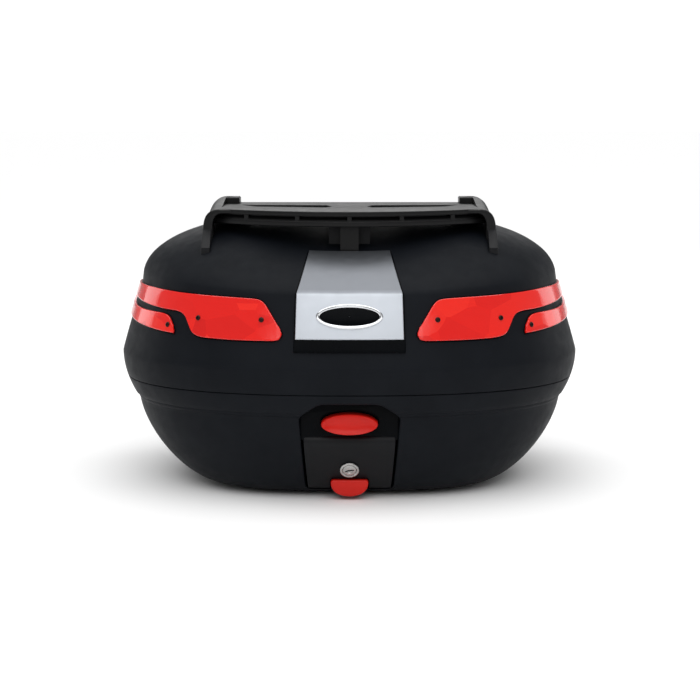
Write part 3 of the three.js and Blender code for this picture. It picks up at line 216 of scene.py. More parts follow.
def on_front(xs, zs, depths):
    """Points that stand off the front by depths, below the crease."""
    def at(x, z):
        sizes = sizes_at(z)
        y = -sizes[..., 1] * (1 - np.abs(x / sizes[..., 0]) ** FRONT_ROUNDNESS) ** (1 / FRONT_ROUNDNESS)
        return np.stack([x, y, z], -1)
    out = unit(np.cross(at(xs + 0.4, zs) - at(xs - 0.4, zs), at(xs, zs + 0.4) - at(xs, zs - 0.4)))
    return at(xs, zs) + out * np.asarray(depths)[..., None]


def on_taper(xs, zs, depths):
    """Points that stand off the front of the lower body by depths."""
    def at(x, z):
        y = np.empty_like(x)
        for i in np.ndindex(x.shape):
            (side, front, _), n = taper_at(np.clip((z[i] - FLOOR_Z) / (NOTCH_Z - FLOOR_Z), 0, 1))
            y[i] = -front * (1 - abs(x[i] / side) ** n) ** (1 / n)
        return np.stack([x, y, z], -1)
    out = unit(np.cross(at(xs + 0.4, zs) - at(xs - 0.4, zs), at(xs, zs + 0.4) - at(xs, zs - 0.4)))
    return at(xs, zs) + out * np.asarray(depths)[..., None]


WRAP_Z = 225.0
_WRAP_ANGLES = np.linspace(FRONT, 0.7 * np.pi, 2400)
_wrap = plan_ring(sizes_at(WRAP_Z), _WRAP_ANGLES, WRAP_Z)
_WRAP_ROUND = np.concatenate([[0], np.cumsum(np.linalg.norm(np.diff(_wrap, axis=0), axis=1))])


def side_at(rounds, zs):
    """Points of the lid's left side at distances round from its front middle."""
    angles = np.interp(rounds, _WRAP_ROUND, _WRAP_ANGLES)
    sizes = sizes_at(zs)
    s = np.sin(angles)
    n = np.where(s < 0, FRONT_ROUNDNESS, BACK_ROUNDNESS)
    x = sizes[..., 0] * power(np.cos(angles), 2 / n)
    y = np.where(s < 0, sizes[..., 1], sizes[..., 2]) * power(s, 2 / n)
    return np.stack([x, y, zs], -1)


def on_side(rounds, zs, depths):
    """Points that stand off the lid's left side by depths."""
    here = side_at(rounds, zs)
    ahead = side_at(rounds + 0.5, zs) - side_at(rounds - 0.5, zs)
    out = unit(np.cross(ahead, side_at(rounds, zs + 0.5) - side_at(rounds, zs - 0.5)))
    flip = np.sign(out[..., 0] * here[..., 0] + out[..., 1] * here[..., 1])
    out = out * flip[..., None]
    return here + out * np.asarray(depths)[..., None]


# ---- mesh helpers -----------------------------------------------------------------------------------------


def link(name, points, faces):
    """A mesh object from points in millimetres. Its faces are turned outward."""
    mesh = bpy.data.meshes.new(name)
    mesh.from_pydata((np.asarray(points, float) * MM).tolist(), [], faces)
    work = bmesh.new()
    work.from_mesh(mesh)
    bmesh.ops.remove_doubles(work, verts=work.verts, dist=1e-6)
    bmesh.ops.recalc_face_normals(work, faces=work.faces)
    work.to_mesh(mesh)
    work.free()
    obj = bpy.data.objects.new(name, mesh)
    bpy.context.scene.collection.objects.link(obj)
    return obj


def stack(name, rings, closed=False):
    """A body through rings of points. Its ends are shut, or it closes on its first ring."""
    rings = [np.asarray(r) for r in rings]
    count, last = len(rings[0]), len(rings) - 1
    faces = []
    for r in range(last + closed):
        low, high = r * count, (r + 1) % (last + 1) * count
        faces += [(low + i, low + (i + 1) % count, high + (i + 1) % count, high + i) for i in range(count)]
    if not closed:
        faces.append(tuple(range(count))[::-1])
        faces.append(tuple(last * count + i for i in range(count)))
    return link(name, np.concatenate(rings), faces)


def closed_grid(name, outer, inner):
    """A curved slab between two grids of points."""
    m, n = outer.shape[:2]
    points = np.concatenate([outer.reshape(-1, 3), inner.reshape(-1, 3)])

    def index(i, j, side):
        return side * m * n + i * n + j

    faces = []
    for i in range(m - 1):
        for j in range(n - 1):
            for side in (0, 1):
                faces.append([index(i, j, side), index(i, j + 1, side), index(i + 1, j + 1, side),
                        index(i + 1, j, side)])
    for i in range(m - 1):
        for j in (0, n - 1):
            faces.append([index(i, j, 0), index(i + 1, j, 0), index(i + 1, j, 1), index(i, j, 1)])
    for j in range(n - 1):
        for i in (0, m - 1):
            faces.append([index(i, j, 0), index(i, j, 1), index(i, j + 1, 1), index(i, j + 1, 0)])
    return link(name, points, faces)


def baked(obj):
    """A mesh object in place of an object with modifiers or a curve."""
    mesh = bpy.data.meshes.new_from_object(obj.evaluated_get(bpy.context.evaluated_depsgraph_get()))
    name = obj.name
    bpy.data.objects.remove(obj)
    mesh.name = name
    made = bpy.data.objects.new(name, mesh)
    bpy.context.scene.collection.objects.link(made)
    return made


def boolean(obj, others, operation="DIFFERENCE", keep=False):
    """Cuts other bodies out of an object, or joins them to it, and removes them."""
    for other in others:
        modifier = obj.modifiers.new("cut", "BOOLEAN")
        modifier.operation = operation
        modifier.object = other
        modifier.solver = "EXACT"
    made = baked(obj)
    if not keep:
        for other in others:
            bpy.data.objects.remove(other)
    return made


def smooth(obj, angle=35):
    """Shades smooth, except over edges sharper than the angle."""
    work = bmesh.new()
    work.from_mesh(obj.data)
    for face in work.faces:
        face.smooth = True
    for edge in work.edges:
        edge.smooth = len(edge.link_faces) != 2 or edge.calc_face_angle(0.0) < math.radians(angle)
    work.to_mesh(obj.data)
    work.free()
    return obj


def plate(name, outlines, axis, start, end, edge=0.8):
    """A plate with rounded edges. The first outline bounds it and the others are holes in it.

    Outlines are (x, y) along Z, (x, z) along Y and (y, z) along X.
    """
    curve = bpy.data.curves.new(name, "CURVE")
    curve.dimensions = "2D"
    curve.fill_mode = "BOTH"
    curve.extrude = (abs(end - start) / 2 - edge) * MM
    curve.bevel_depth = edge * MM
    curve.bevel_resolution = 3
    curve.offset = -edge * MM
    for outline in outlines:
        spline = curve.splines.new("POLY")
        spline.points.add(len(outline) - 1)
        spline.points.foreach_set("co", [v for u, w in outline for v in (u * MM, w * MM, 0.0, 1.0)])
        spline.use_cyclic_u = True
    obj = bpy.data.objects.new(name, curve)
    bpy.context.scene.collection.objects.link(obj)
    obj = baked(obj)
    middle = (start + end) / 2 * MM
    turn = {
        "z": Matrix(((1, 0, 0, 0), (0, 1, 0, 0), (0, 0, 1, middle), (0, 0, 0, 1))),
        "y": Matrix(((1, 0, 0, 0), (0, 0, 1, middle), (0, 1, 0, 0), (0, 0, 0, 1))),
        "x": Matrix(((0, 0, 1, middle), (1, 0, 0, 0), (0, 1, 0, 0), (0, 0, 0, 1))),
    }[axis]
    obj.data.transform(turn)
    work = bmesh.new()
    work.from_mesh(obj.data)
    bmesh.ops.remove_doubles(work, verts=work.verts, dist=1e-6)
    bmesh.ops.recalc_face_normals(work, faces=work.faces)
    work.to_mesh(obj.data)
    work.free()
    return smooth(obj, 30)


def rectangle(u0, u1, v0, v1, corner=0.0):
    """Outline of a rectangle with round corners."""
    if not corner:
        return [(u0, v0), (u1, v0), (u1, v1), (u0, v1)]
    points = []
    for u, v, start in ((u1, v1, 0), (u0, v1, 90), (u0, v0, 180), (u1, v0, 270)):
        cu = u - corner if u == u1 else u + corner
        cv = v - corner if v == v1 else v + corner
        for angle in np.radians(np.linspace(start, start + 90, 7)):
            points.append((cu + corner * math.cos(angle), cv + corner * math.sin(angle)))
    return points


def block(name, x0, x1, y0, y1, z0, z1, edge=0.8):
    return plate(name, [rectangle(x0, x1, y0, y1)], "z", z0, z1, edge)


def lathe(name, profile, sides=64):
    """A turned body about Z from (radius, height) points that end on the axis or close on themselves."""
    angles = np.linspace(0, 2 * np.pi, sides, endpoint=False)
    rings = [np.stack([r * np.cos(angles), r * np.sin(angles), np.full(sides, float(h))], -1) for r,
            h in profile]
    ends_on_axis = profile[0][0] == 0 and profile[-1][0] == 0
    if ends_on_axis:
        points = np.concatenate(rings)
        faces = []
        for r in range(len(rings) - 1):
            low, high = r * sides, (r + 1) * sides
            faces += [(low + i, low + (i + 1) % sides, high + (i + 1) % sides,
                    high + i) for i in range(sides)]
        return smooth(link(name, points, faces))
    return smooth(stack(name, rings, closed=True))


def moved(obj, origin, out):
    """Stands a body made about Z at a point, with +Z turned to a direction."""
    turn = Vector((0, 0, 1)).rotation_difference(Vector(out)).to_matrix().to_4x4()
    obj.data.transform(Matrix.Translation(Vector(origin) * MM) @ turn)
    return obj


def mirrored(obj, name):
    """A mirror copy of a mesh object across the case's middle."""
    mesh = obj.data.copy()
    mesh.transform(Matrix.Scale(-1, 4, (1, 0, 0)))
    mesh.flip_normals()
    mesh.name = name
    copy = bpy.data.objects.new(name, mesh)
    bpy.context.scene.collection.objects.link(copy)
    return copy


def mirrored_over(obj, name):
    """A mirror copy that takes the object's place."""
    copy = mirrored(obj, name)
    bpy.data.objects.remove(obj)
    return copy


def joined(name, objs):
    """One object from several."""
    with bpy.context.temp_override(active_object=objs[0], selected_editable_objects=objs, object=objs[0]):
        bpy.ops.object.join()
    objs[0].name = name
    objs[0].data.name = name
    return objs[0]


def settle(obj, body, slot, material, *nodes):
    """Gives a piece its material and its body, and hides the CAD nodes that it stands for. The slot is not
    used.
    """
    obj.data.materials.clear()
    obj.data.materials.append(material)
    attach(obj, body)
    if nodes:
        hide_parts(*nodes)
    return obj


# ---- materials --------------------------------------------------------------------------------------------


def srgb(red, green, blue):
    """A display colour of 0 to 255 as linear RGBA."""
    def linear(value):
        value /= 255
        return value / 12.92 if value <= 0.04045 else ((value + 0.055) / 1.055) ** 2.4
    return (linear(red), linear(green), linear(blue), 1.0)


class Finish:
    """A procedural material under construction, over the piece's own coordinates in metres."""

    def __init__(self, name, metallic=0.0, **settings):
        self.material = bpy.data.materials.new(name)
        self.material.use_nodes = True
        self.nodes = self.material.node_tree.nodes
        self.links = self.material.node_tree.links
        self.shader = self.nodes["Principled BSDF"]
        self.shader.inputs["Metallic"].default_value = metallic
        for socket, value in settings.items():
            self.shader.inputs[socket.replace("_", " ")].default_value = value
        self.coords = self.nodes.new("ShaderNodeTexCoord").outputs["Object"]
        self.last_bump = None

    def stretched(self, scale):
        node = self.nodes.new("ShaderNodeMapping")
        node.inputs["Scale"].default_value = scale
        self.links.new(self.coords, node.inputs["Vector"])
        return node.outputs["Vector"]

    def noise(self, scale, detail=3.0, stretch=None):
        node = self.nodes.new("ShaderNodeTexNoise")
        node.inputs["Scale"].default_value = scale
        node.inputs["Detail"].default_value = detail
        self.links.new(self.stretched(stretch) if stretch else self.coords, node.inputs["Vector"])
        return node.outputs["Fac"]

    def cells(self, scale, output="Distance", feature="F1", stretch=None):
        node = self.nodes.new("ShaderNodeTexVoronoi")
        node.feature = feature
        node.inputs["Scale"].default_value = scale
        self.links.new(self.stretched(stretch) if stretch else self.coords, node.inputs["Vector"])
        return node.outputs[output]

    def ramp(self, value, stops):
        node = self.nodes.new("ShaderNodeValToRGB")
        elements = node.color_ramp.elements
        while len(elements) < len(stops):
            elements.new(0.5)
        for element, (at, colour) in zip(elements, stops):
            element.position = at
            element.color = colour
        self.links.new(value, node.inputs["Fac"])
        return node.outputs["Color"]

    def colour(self, value, *stops):
        self.links.new(self.ramp(value, stops), self.shader.inputs["Base Color"])
        return self

    def roughness(self, value, low, high):
        node = self.nodes.new("ShaderNodeMapRange")
        node.inputs["From Min"].default_value = 0.3
        node.inputs["From Max"].default_value = 0.7
        node.inputs["To Min"].default_value = low
        node.inputs["To Max"].default_value = high
        self.links.new(value, node.inputs["Value"])
        self.links.new(node.outputs["Result"], self.shader.inputs["Roughness"])
        return self

    def bump(self, value, strength, distance):
        node = self.nodes.new("ShaderNodeBump")
        node.inputs["Strength"].default_value = strength
        node.inputs["Distance"].default_value = distance
        self.links.new(value, node.inputs["Height"])
        if self.last_bump:
            self.links.new(self.last_bump, node.inputs["Normal"])
        self.last_bump = node.outputs["Normal"]
        self.links.new(self.last_bump, self.shader.inputs["Normal"])
        return self


def moulded(name, dark, light, rough, grain=1500, depth=0.25, **settings):
    """Moulded plastic with a fine grain."""
    finish = Finish(name, **settings)
    finish.colour(finish.noise(22, 5), (0.32, srgb(*dark)), (0.7, srgb(*light)))
    finish.roughness(finish.noise(70, 4), *rough)
    finish.bump(finish.noise(9, 2), 0.04, 0.002)
    finish.bump(finish.noise(grain, 2), depth, 0.0002)
    return finish.material


def metal(name, dark, light, rough, stretch=(1, 1, 1), grain=600, depth=0.08, metallic=1.0):
    """Bare or plated metal with a fine brushed grain."""
    finish = Finish(name, metallic)
    finish.colour(finish.noise(grain / 8, 4, stretch), (0.3, srgb(*dark)), (0.7, srgb(*light)))
    finish.roughness(finish.noise(grain, 3, stretch), *rough)
    finish.bump(finish.noise(grain, 3, stretch), depth, 0.0001)
    return finish.material


def lens_red():
    """Clear red cover over a faceted reflector."""
    finish = Finish("reflector_red", Coat_Weight=0.5, Coat_Roughness=0.03, IOR=1.5)
    facets = finish.cells(26, "Color", stretch=(1.0, 1.0, 1.5))
    finish.colour(facets, (0.0, srgb(208, 12, 6)), (0.55, srgb(226, 22, 12)), (1.0, srgb(238, 40, 24)))
    finish.roughness(finish.noise(120, 2), 0.1, 0.2)
    finish.bump(finish.cells(26, "Distance", stretch=(1.0, 1.0, 1.5)), 0.25, 0.004)
    finish.bump(finish.cells(420, "Distance"), 0.08, 0.0004)
    return finish.material


def silver_with_painted_shade():
    """Silver film whose colour darkens towards the top of the garnish: painted shade and painted reflection
    of the dark rack above.
    """
    finish = Finish("panel_silver", 0.75)
    height = finish.nodes.new("ShaderNodeSeparateXYZ")
    finish.links.new(finish.coords, height.inputs["Vector"])
    # The height share from the crease to the panel's top darkens the colour: painted shade and painted
    # reflection of the rack.
    share = finish.nodes.new("ShaderNodeMapRange")
    share.inputs["From Min"].default_value = CREASE_Z * MM
    share.inputs["From Max"].default_value = PANEL_HIGH[2] * MM
    finish.links.new(height.outputs["Z"], share.inputs["Value"])
    grain = finish.nodes.new("ShaderNodeMath")
    grain.operation = "MULTIPLY_ADD"
    grain.inputs[1].default_value = 0.02
    finish.links.new(finish.noise(30, 4), grain.inputs[0])
    finish.links.new(share.outputs["Result"], grain.inputs[2])
    # Bright below the crease and darker upwards: painted shade and painted reflection of the rack, over a
    # little noise grain.
    finish.colour(grain.outputs["Value"], (0.02, srgb(194, 199, 206)), (0.07, srgb(130, 133, 139)),
            (0.13, srgb(114, 117, 122)),
                  (0.5, srgb(112, 115, 120)), (1.0, srgb(92, 95, 99)))
    finish.roughness(finish.noise(90, 4), 0.3, 0.38)
    finish.bump(finish.noise(1600, 2), 0.05, 0.0001)
    return finish.material


SHELL = moulded("shell_black", (12, 15, 20), (16, 19, 24), (0.5, 0.6), Specular_IOR_Level=0.1)
INSIDE = moulded("shell_inside", (12, 14, 18), (17, 18, 22), (0.6, 0.75), grain=700, depth=0.4,
        Specular_IOR_Level=0.14)
RACK = moulded("rack_black", (12, 12, 13), (16, 16, 17), (0.34, 0.42), grain=1900, depth=0.12,
        Specular_IOR_Level=0.2)
LOCK = moulded("lock_black", (11, 12, 15), (15, 16, 19), (0.42, 0.5), grain=1900, depth=0.15,
        Specular_IOR_Level=0.18)
# Near-black, with its reflection cut almost to nothing, which also keeps the strip under the garnish this
# dark. On the beads round the lenses it is painted shade; the badge field and the button surround are black
# parts.
GLOSS_AND_SHADE = moulded("gloss_black", (2, 3, 5), (4, 6, 9), (0.2, 0.3), grain=2500, depth=0.04,
        Specular_IOR_Level=0.05)
RUBBER = moulded("rubber_black", (14, 14, 15), (20, 20, 21), (0.75, 0.9), grain=900, depth=0.5,
        Specular_IOR_Level=0.2)
BUTTON = moulded("button_red", (190, 20, 10), (204, 28, 16), (0.3, 0.38), grain=1200, depth=0.06,
        Specular_IOR_Level=0.25)
LENS = lens_red()
PANEL = silver_with_painted_shade()
CHROME = metal("badge_chrome", (214, 216, 219), (226, 228, 230), (0.08, 0.16), grain=300, depth=0.02)
ZINC = metal("zinc_plated", (140, 141, 138), (172, 172, 166), (0.35, 0.5))
STEEL = metal("pin_steel", (165, 167, 170), (188, 190, 192), (0.25, 0.38), (1, 1, 8))
SCREW = metal("screw_dark", (44, 30, 28), (62, 46, 42), (0.3, 0.45), depth=0.1)
SILVER = metal("lock_silver", (176, 176, 174), (200, 200, 198), (0.22, 0.34), grain=900, depth=0.1)

# ---- shells -----------------------------------------------------------------------------------------------

RIM_ROUND = 1.1
QUARTER = np.radians([0, 22.5, 45, 67.5, 90])


def band_ring(z, inset, angles=ANGLES):
    return plan_ring(sizes_at(z) - inset, angles, z)


def eased(rings, rows, passes):
    """Rounds the fold between rings by averaging each row with its neighbours."""
    grid = np.array(rings)
    for _ in range(passes):
        grid[rows] += 0.5 * ((grid[rows - 1] + grid[rows + 1]) / 2 - grid[rows])
    return list(grid)


def lid_skin(inset, bottom_z, angles, fine):
    """Rings of one skin of the lid from its rim to its top."""
    side_steps, fold_steps, climb_steps = (32, 7, 46) if fine else (9, 3, 16)
    heights = np.concatenate([
        np.linspace(bottom_z, WIDEST_Z, side_steps // 3, endpoint=False),
        np.linspace(WIDEST_Z, CREASE_Z - 6, side_steps, endpoint=False),
        np.linspace(CREASE_Z - 6, CREASE_Z, fold_steps),
    ])
    climbs = np.radians(np.concatenate([np.linspace(1.5, 12, fold_steps),
            np.linspace(14, 89.5, climb_steps)]))
    rings = [band_ring(z, inset, angles) for z in heights] + [dome_ring(c, angles, inset) for c in climbs]
    fold = len(heights) - 1
    return eased(rings, np.arange(fold - 3, fold + 4), 6) if fine else rings


def lid_shell():
    rim_out = [band_ring(LID_BOTTOM_Z + RIM_ROUND * (1 - math.cos(a)),
            RIM_ROUND * (1 - math.sin(a))) for a in QUARTER]
    outer = rim_out + lid_skin(0.0, LID_BOTTOM_Z + 2, ANGLES, True)
    inner = lid_skin(WALL, LID_BOTTOM_Z, ANGLES, False)
    count = AROUND
    rings = inner[::-1] + outer
    faces = []
    for r in range(len(rings) - 1):
        low, high = r * count, (r + 1) * count
        faces += [(low + i, low + (i + 1) % count, high + (i + 1) % count, high + i) for i in range(count)]
    faces.append(tuple(range(count))[::-1])
    faces.append(tuple((len(rings) - 1) * count + i for i in range(count)))
    return link("lid_cover", np.concatenate(rings), faces)


def lid_filled(grow):
    """The lid as a filled body, to trim what stands on it or hangs in it."""
    angles = ANGLES[::2]
    return stack("lid_filled", lid_skin(-grow, SEAM_Z - 10, angles, False))


def bay_outline(margin):
    """Half of the lock bay's outline as (x, z), grown by a margin, then the other half."""
    half = [(53 + margin, FLOOR_Z + WALL - margin), (60 + margin, 107.0), (36 + margin, 123 + margin)]
    return half + [(-x, z) for x, z in half[::-1]]


def rounded(corners, radius, steps=6):
    """An outline with its corners rounded."""
    corners = np.asarray(corners, float)
    points = []
    for i, corner in enumerate(corners):
        before, after = corners[i - 1], corners[(i + 1) % len(corners)]
        to_before, to_after = unit(before - corner), unit(after - corner)
        reach = min(radius, np.linalg.norm(before - corner) / 2.2, np.linalg.norm(after - corner) / 2.2)
        start, end = corner + to_before * reach, corner + to_after * reach
        points += [tuple(point) for point in bezier([start, corner, end], steps)]
    return points


def bay_cutter():
    """The bay's space, flared where it meets the case's face so that its edge is rounded."""
    back = BAY_BACK_Y - WALL
    outline = np.array(rounded(bay_outline(0.0), 7))
    # More points along each side let the flare follow the curved face.
    dense = []
    for a, b in zip(outline, np.roll(outline, -1, axis=0)):
        steps = max(1, int(np.linalg.norm(b - a) / 4))
        dense += [mix(a, b, k / steps) for k in range(steps)]
    outline = np.array(dense)
    middle = np.array([0.0, 70.0])
    rings = [np.stack([outline[:, 0], np.full(len(outline), back), outline[:, 1]], -1)]
    for depth, grow in ((-12, 0), (-2.6, 0), (-1.5, 0.25), (-0.7, 0.8), (-0.2, 1.6), (0.6, 2.8), (3, 3.6)):
        grown = outline + unit(outline - middle) * grow
        zs = np.clip(grown[:, 1], FLOOR_Z + 0.2, None)
        low = zs < NOTCH_Z
        points = np.empty((len(zs), 3))
        points[low] = on_taper(grown[low, 0], zs[low], np.full(low.sum(), float(depth)))
        points[~low] = on_front(grown[~low, 0], zs[~low], np.full((~low).sum(), float(depth)))
        points[:, 0], points[:, 2] = grown[:, 0], grown[:, 1]
        rings.append(points)
    rings.append(np.stack([rings[-1][:, 0], np.full(len(outline), -260.0), rings[-1][:, 2]], -1))
    return stack("bay_cutter", rings)


def tray_skin(inset, top_z, fine):
    """Rings of one skin of the bottom shell, from its floor to its top."""
    rises = np.linspace(0, 1, 34 if fine else 18) ** 1.9
    rings = []
    for rise in rises[:-1]:
        sizes, roundness = taper_at(rise)
        rings.append(plan_ring(sizes - inset, ANGLES, mix(FLOOR_Z + inset, NOTCH_Z, rise), roundness))
    for share, z in ((0.05, 105.6), (0.25, 106.6), (0.55, 107.1), (0.85, 107.9), (0.97, 109.0), (1.0, 110.6)):
        rings.append(plan_ring(mix(NOTCH, BAND, share) - inset, ANGLES, z))
    rings += [band_ring(z, inset) for z in np.linspace(113, top_z, 7)]
    return rings


def tray_shell():
    rim = [
        band_ring(SEAM_Z - RIM_ROUND * (1 - math.sin(a)), RIM_ROUND * (1 - math.cos(a)))
        for a in np.radians([22.5, 45, 67.5, 90])
    ]
    tray = stack("tray", tray_skin(0.0, SEAM_Z - RIM_ROUND, True) + rim)
    cavity = stack("cavity", tray_skin(WALL, SEAM_Z + 3, False))
    bay_wall = plate("bay_wall", [rounded(bay_outline(3.0), 7)], "y", -260, BAY_BACK_Y, 0.01)
    roofs = [block(f"socket_roof_{i}", x - 19.5, x + 19.5, 76.5, 107.5, 0, 19.5, 0.01) for i,
            x in enumerate((-60, 60))]
    cavity = boolean(cavity, [bay_wall, *roofs])
    opening = plate("bay_back", [rectangle(-42, 42, 24, 102, 4)], "y", -122, -108, 0.01)
    striker_slot = plate("striker_slot", [rectangle(-16, 16, -180, -169, 2)], "z", 120, SEAM_Z - 0.8, 0.01)
    nose_slot = plate("nose_slot", [rectangle(-9, 9, -140, -112, 2)], "z", 4, 11, 0.01)
    sockets = [
        plate(f"socket_{i}", [rectangle(x - 16, x + 16, 80, 104, 2)], "z", 4, FLOOR_Z + 10, 0.01)
        for i, x in enumerate((-60, 60))
    ]
    tray = boolean(tray, [cavity])
    return boolean(tray, [bay_cutter(), opening, striker_slot, nose_slot, *sockets])


def hinge_knuckles(name, spans, web):
    """Knuckles of one shell at both hinges, with the arms that carry them."""
    y, z = (PIN_LOW[1] + PIN_HIGH[1]) / 2, (PIN_LOW[2] + PIN_HIGH[2]) / 2
    middle = (PIN_LOW[0] + PIN_HIGH[0]) / 2
    turns = np.radians(np.arange(0, 360, 7.5))
    pieces = []
    for side in (-1, 1):
        for start, end in spans:
            x0, x1 = side * middle + start, side * middle + end
            ring = [(y + 5.2 * math.cos(a), z + 5.2 * math.sin(a)) for a in turns]
            hole = [(y + 2.3 * math.cos(a), z + 2.3 * math.sin(a)) for a in turns]
            pieces.append(plate("knuckle", [ring, hole], "x", x0, x1, 0.5))
            pieces.append(plate("web", [web], "x", x0 + 0.4, x1 - 0.4, 0.5))
    return joined(name, pieces)


def back_y(z, inset):
    """Y of the case's back at the hinges' outer ends."""
    sizes = sizes_at(z) - inset
    return sizes[2] * (1 - (138 / sizes[0]) ** BACK_ROUNDNESS) ** (1 / BACK_ROUNDNESS)


def hinges():
    y, z = (PIN_LOW[1] + PIN_HIGH[1]) / 2, (PIN_LOW[2] + PIN_HIGH[2]) / 2
    low_web = [(back_y(109, 1.5), 109), (y - 0.5, z - 4.8), (y - 2.4, z - 1), (back_y(z, 1.5), z)]
    high_web = [(back_y(139, 1.5), 138), (y - 4.6, z + 3), (y - 2.4, z + 1), (y + 4.2, z + 3),
            (back_y(156, 1.5), 156)]
    tray_arms = hinge_knuckles("tray_hinge_arms", [(-18.4, -6.4), (6.4, 18.4)], low_web)
    lid_arms = hinge_knuckles("lid_hinge_arms", [(-6, 6)], high_web)
    settle(tray_arms, "root", "shell_black", SHELL)
    settle(lid_arms, "lid", "shell_black", SHELL)


def screw_bosses():
    """Posts under the dome that the rack's screws come up through."""
    for i in range(1, 5):
        low, high = node_box(f"rack_screw_{i}")
        x, y = (low[:2] + high[:2]) / 2
        base = low[2] + 3.3
        post = lathe("post", [(3.3, base), (7.2, base), (8, base + 0.8), (8, base + 40), (3.3, base + 40)])
        post.data.transform(Matrix.Translation((x * MM, y * MM, 0)))
        post = boolean(post, [lid_filled(-1.0)], "INTERSECT")
        post.name = f"rack_boss_{i}"
        settle(smooth(post), "lid", "shell_black", INSIDE)


# ---- garnish and badge ------------------------------------------------------------------------------------

PANEL_LOW_Z = PANEL_LOW[2]
GARNISH_TOP = math.radians(39.5)
PANEL_FROM = 2.9


def edge_drop(distance, radius):
    """How far a rounded edge falls away at a distance in from it."""
    near = np.clip(radius - distance, 0, radius)
    return radius - np.sqrt(radius ** 2 - near ** 2)


def garnish(name, low_z, margin, start, thick, radius):
    """A cover over the front that bends over the crease, with rounded edges."""
    base, crease, top = 63.2 + margin, 61.7 + margin, 48.5 + margin
    levels = [("z", z) for z in np.concatenate([
        low_z + np.array([0, 0.1, 0.3, 0.6, 1.0]),
        np.linspace(low_z + 4, CREASE_Z, 16),
    ])]
    levels += [("climb", c) for c in np.concatenate([
        np.linspace(0.03, GARNISH_TOP - 0.03, 26),
        GARNISH_TOP - np.array([0.015, 0.006, 0.002, 0]),
    ])]
    shares = np.concatenate([[-1, -0.9985, -0.995, -0.99, -0.984], np.linspace(-0.95, 0.95, 25),
            [0.984, 0.99, 0.995, 0.9985, 1]])
    rows = []
    halves = []
    for kind, value in levels:
        if kind == "z":
            half = mix(base, crease, (value - PANEL_LOW_Z) / (CREASE_Z - PANEL_LOW_Z))
        else:
            half = mix(crease, top, (value / GARNISH_TOP) ** 1.25)
        halves.append(half)
        rows.append((shares * half, front_row(shares * half, (kind, value)),
                front_out(shares * half, (kind, value))))
    middle = np.array([row[1][len(shares) // 2] for row in rows])
    climbed = np.concatenate([[0], np.cumsum(np.linalg.norm(np.diff(middle, axis=0), axis=1))])
    outer, inner = [], []
    for (xs, points, outs), half, up in zip(rows, halves, climbed):
        distance = np.minimum(half - np.abs(xs), min(up, climbed[-1] - up))
        outer.append(points + outs * (start + thick - edge_drop(distance, radius))[:, None])
        inner.append(points + outs * start)
    return smooth(closed_grid(name, np.array(outer), np.array(inner)), 28)


def oval_on_front(name, rings):
    """A body over the front from rings of (half-width, half-height, depth). It closes on itself."""
    z = (BADGE_LOW[2] + BADGE_HIGH[2]) / 2
    turns = np.linspace(0, 2 * np.pi, 120, endpoint=False)
    made = [
        on_front(half_w * np.cos(turns), z + half_h * np.sin(turns), np.full(len(turns), float(depth)))
        for half_w, half_h, depth in rings
    ]
    return smooth(stack(name, made, closed=True), 30)


def badge():
    """An oval chrome rim round a dark crowned plate."""
    half_w = (BADGE_HIGH[0] - BADGE_LOW[0]) / 2
    half_h = (BADGE_HIGH[2] - BADGE_LOW[2]) / 2
    start = PANEL_FROM + 1.6 + 0.2
    width = 4.4
    section = [(0, 0), (0.1, 1.0), (0.7, 1.8), (1.7, 2.3), (2.8, 2.2), (3.8, 1.5), (width, 0.9), (width, 0)]
    rim = oval_on_front("badge_ring", [(half_w - inset, half_h - inset, start + up) for inset, up in section])
    settle(rim, "lid", "badge_chrome", CHROME, "badge_rim")
    field = []
    for share, up in ((1.0, 0.2), (1.0, 1.0), (0.985, 1.15), (0.9, 1.35), (0.6, 1.6), (0.3, 1.72),
            (0.02, 1.75), (0.02, 0.2)):
        field.append(((half_w - 3.6) * share, (half_h - 3.6) * share, start + up))
    settle(oval_on_front("badge_field", field), "lid", "gloss_black", GLOSS_AND_SHADE, "badge_plate")


# ---- reflectors -------------------------------------------------------------------------------------------

# Each outline is a list of (distance round from the front middle, height) along its top and its bottom.
UPPER_LENS = (
    [(78, 207), (84, 217), (103, 243), (112, 245.5), (139, 246.5), (183, 247.5), (221, 248.5), (273, 250.5),
     (330, 251), (388, 250), (394, 247)],
    [(78, 204), (81, 198), (103, 197.5), (141, 197.5), (174, 198.5), (186, 201), (193, 208), (198, 217),
     (206, 224.5), (218, 227), (240, 227.5), (264, 229), (297, 231.5), (340, 235), (388, 240), (394, 243)],
)
LOWER_LENS = (
    [(215.5, 203), (219, 209), (224, 217), (229, 220.5), (240, 222.5), (281, 223), (320, 224.5), (365, 229),
     (388, 232), (394, 229)],
    [(215.5, 200.5), (219, 200.8), (236, 201.5), (275, 204.5), (318, 208.5), (360, 214), (388, 220),
            (394, 224)],
)
LENS_SCREWS = {"upper": [(103, 221.5), (183, 220.5)], "lower": [(226, 209.5)]}
LENS_FROM, LENS_THICK = 0.5, 2.8


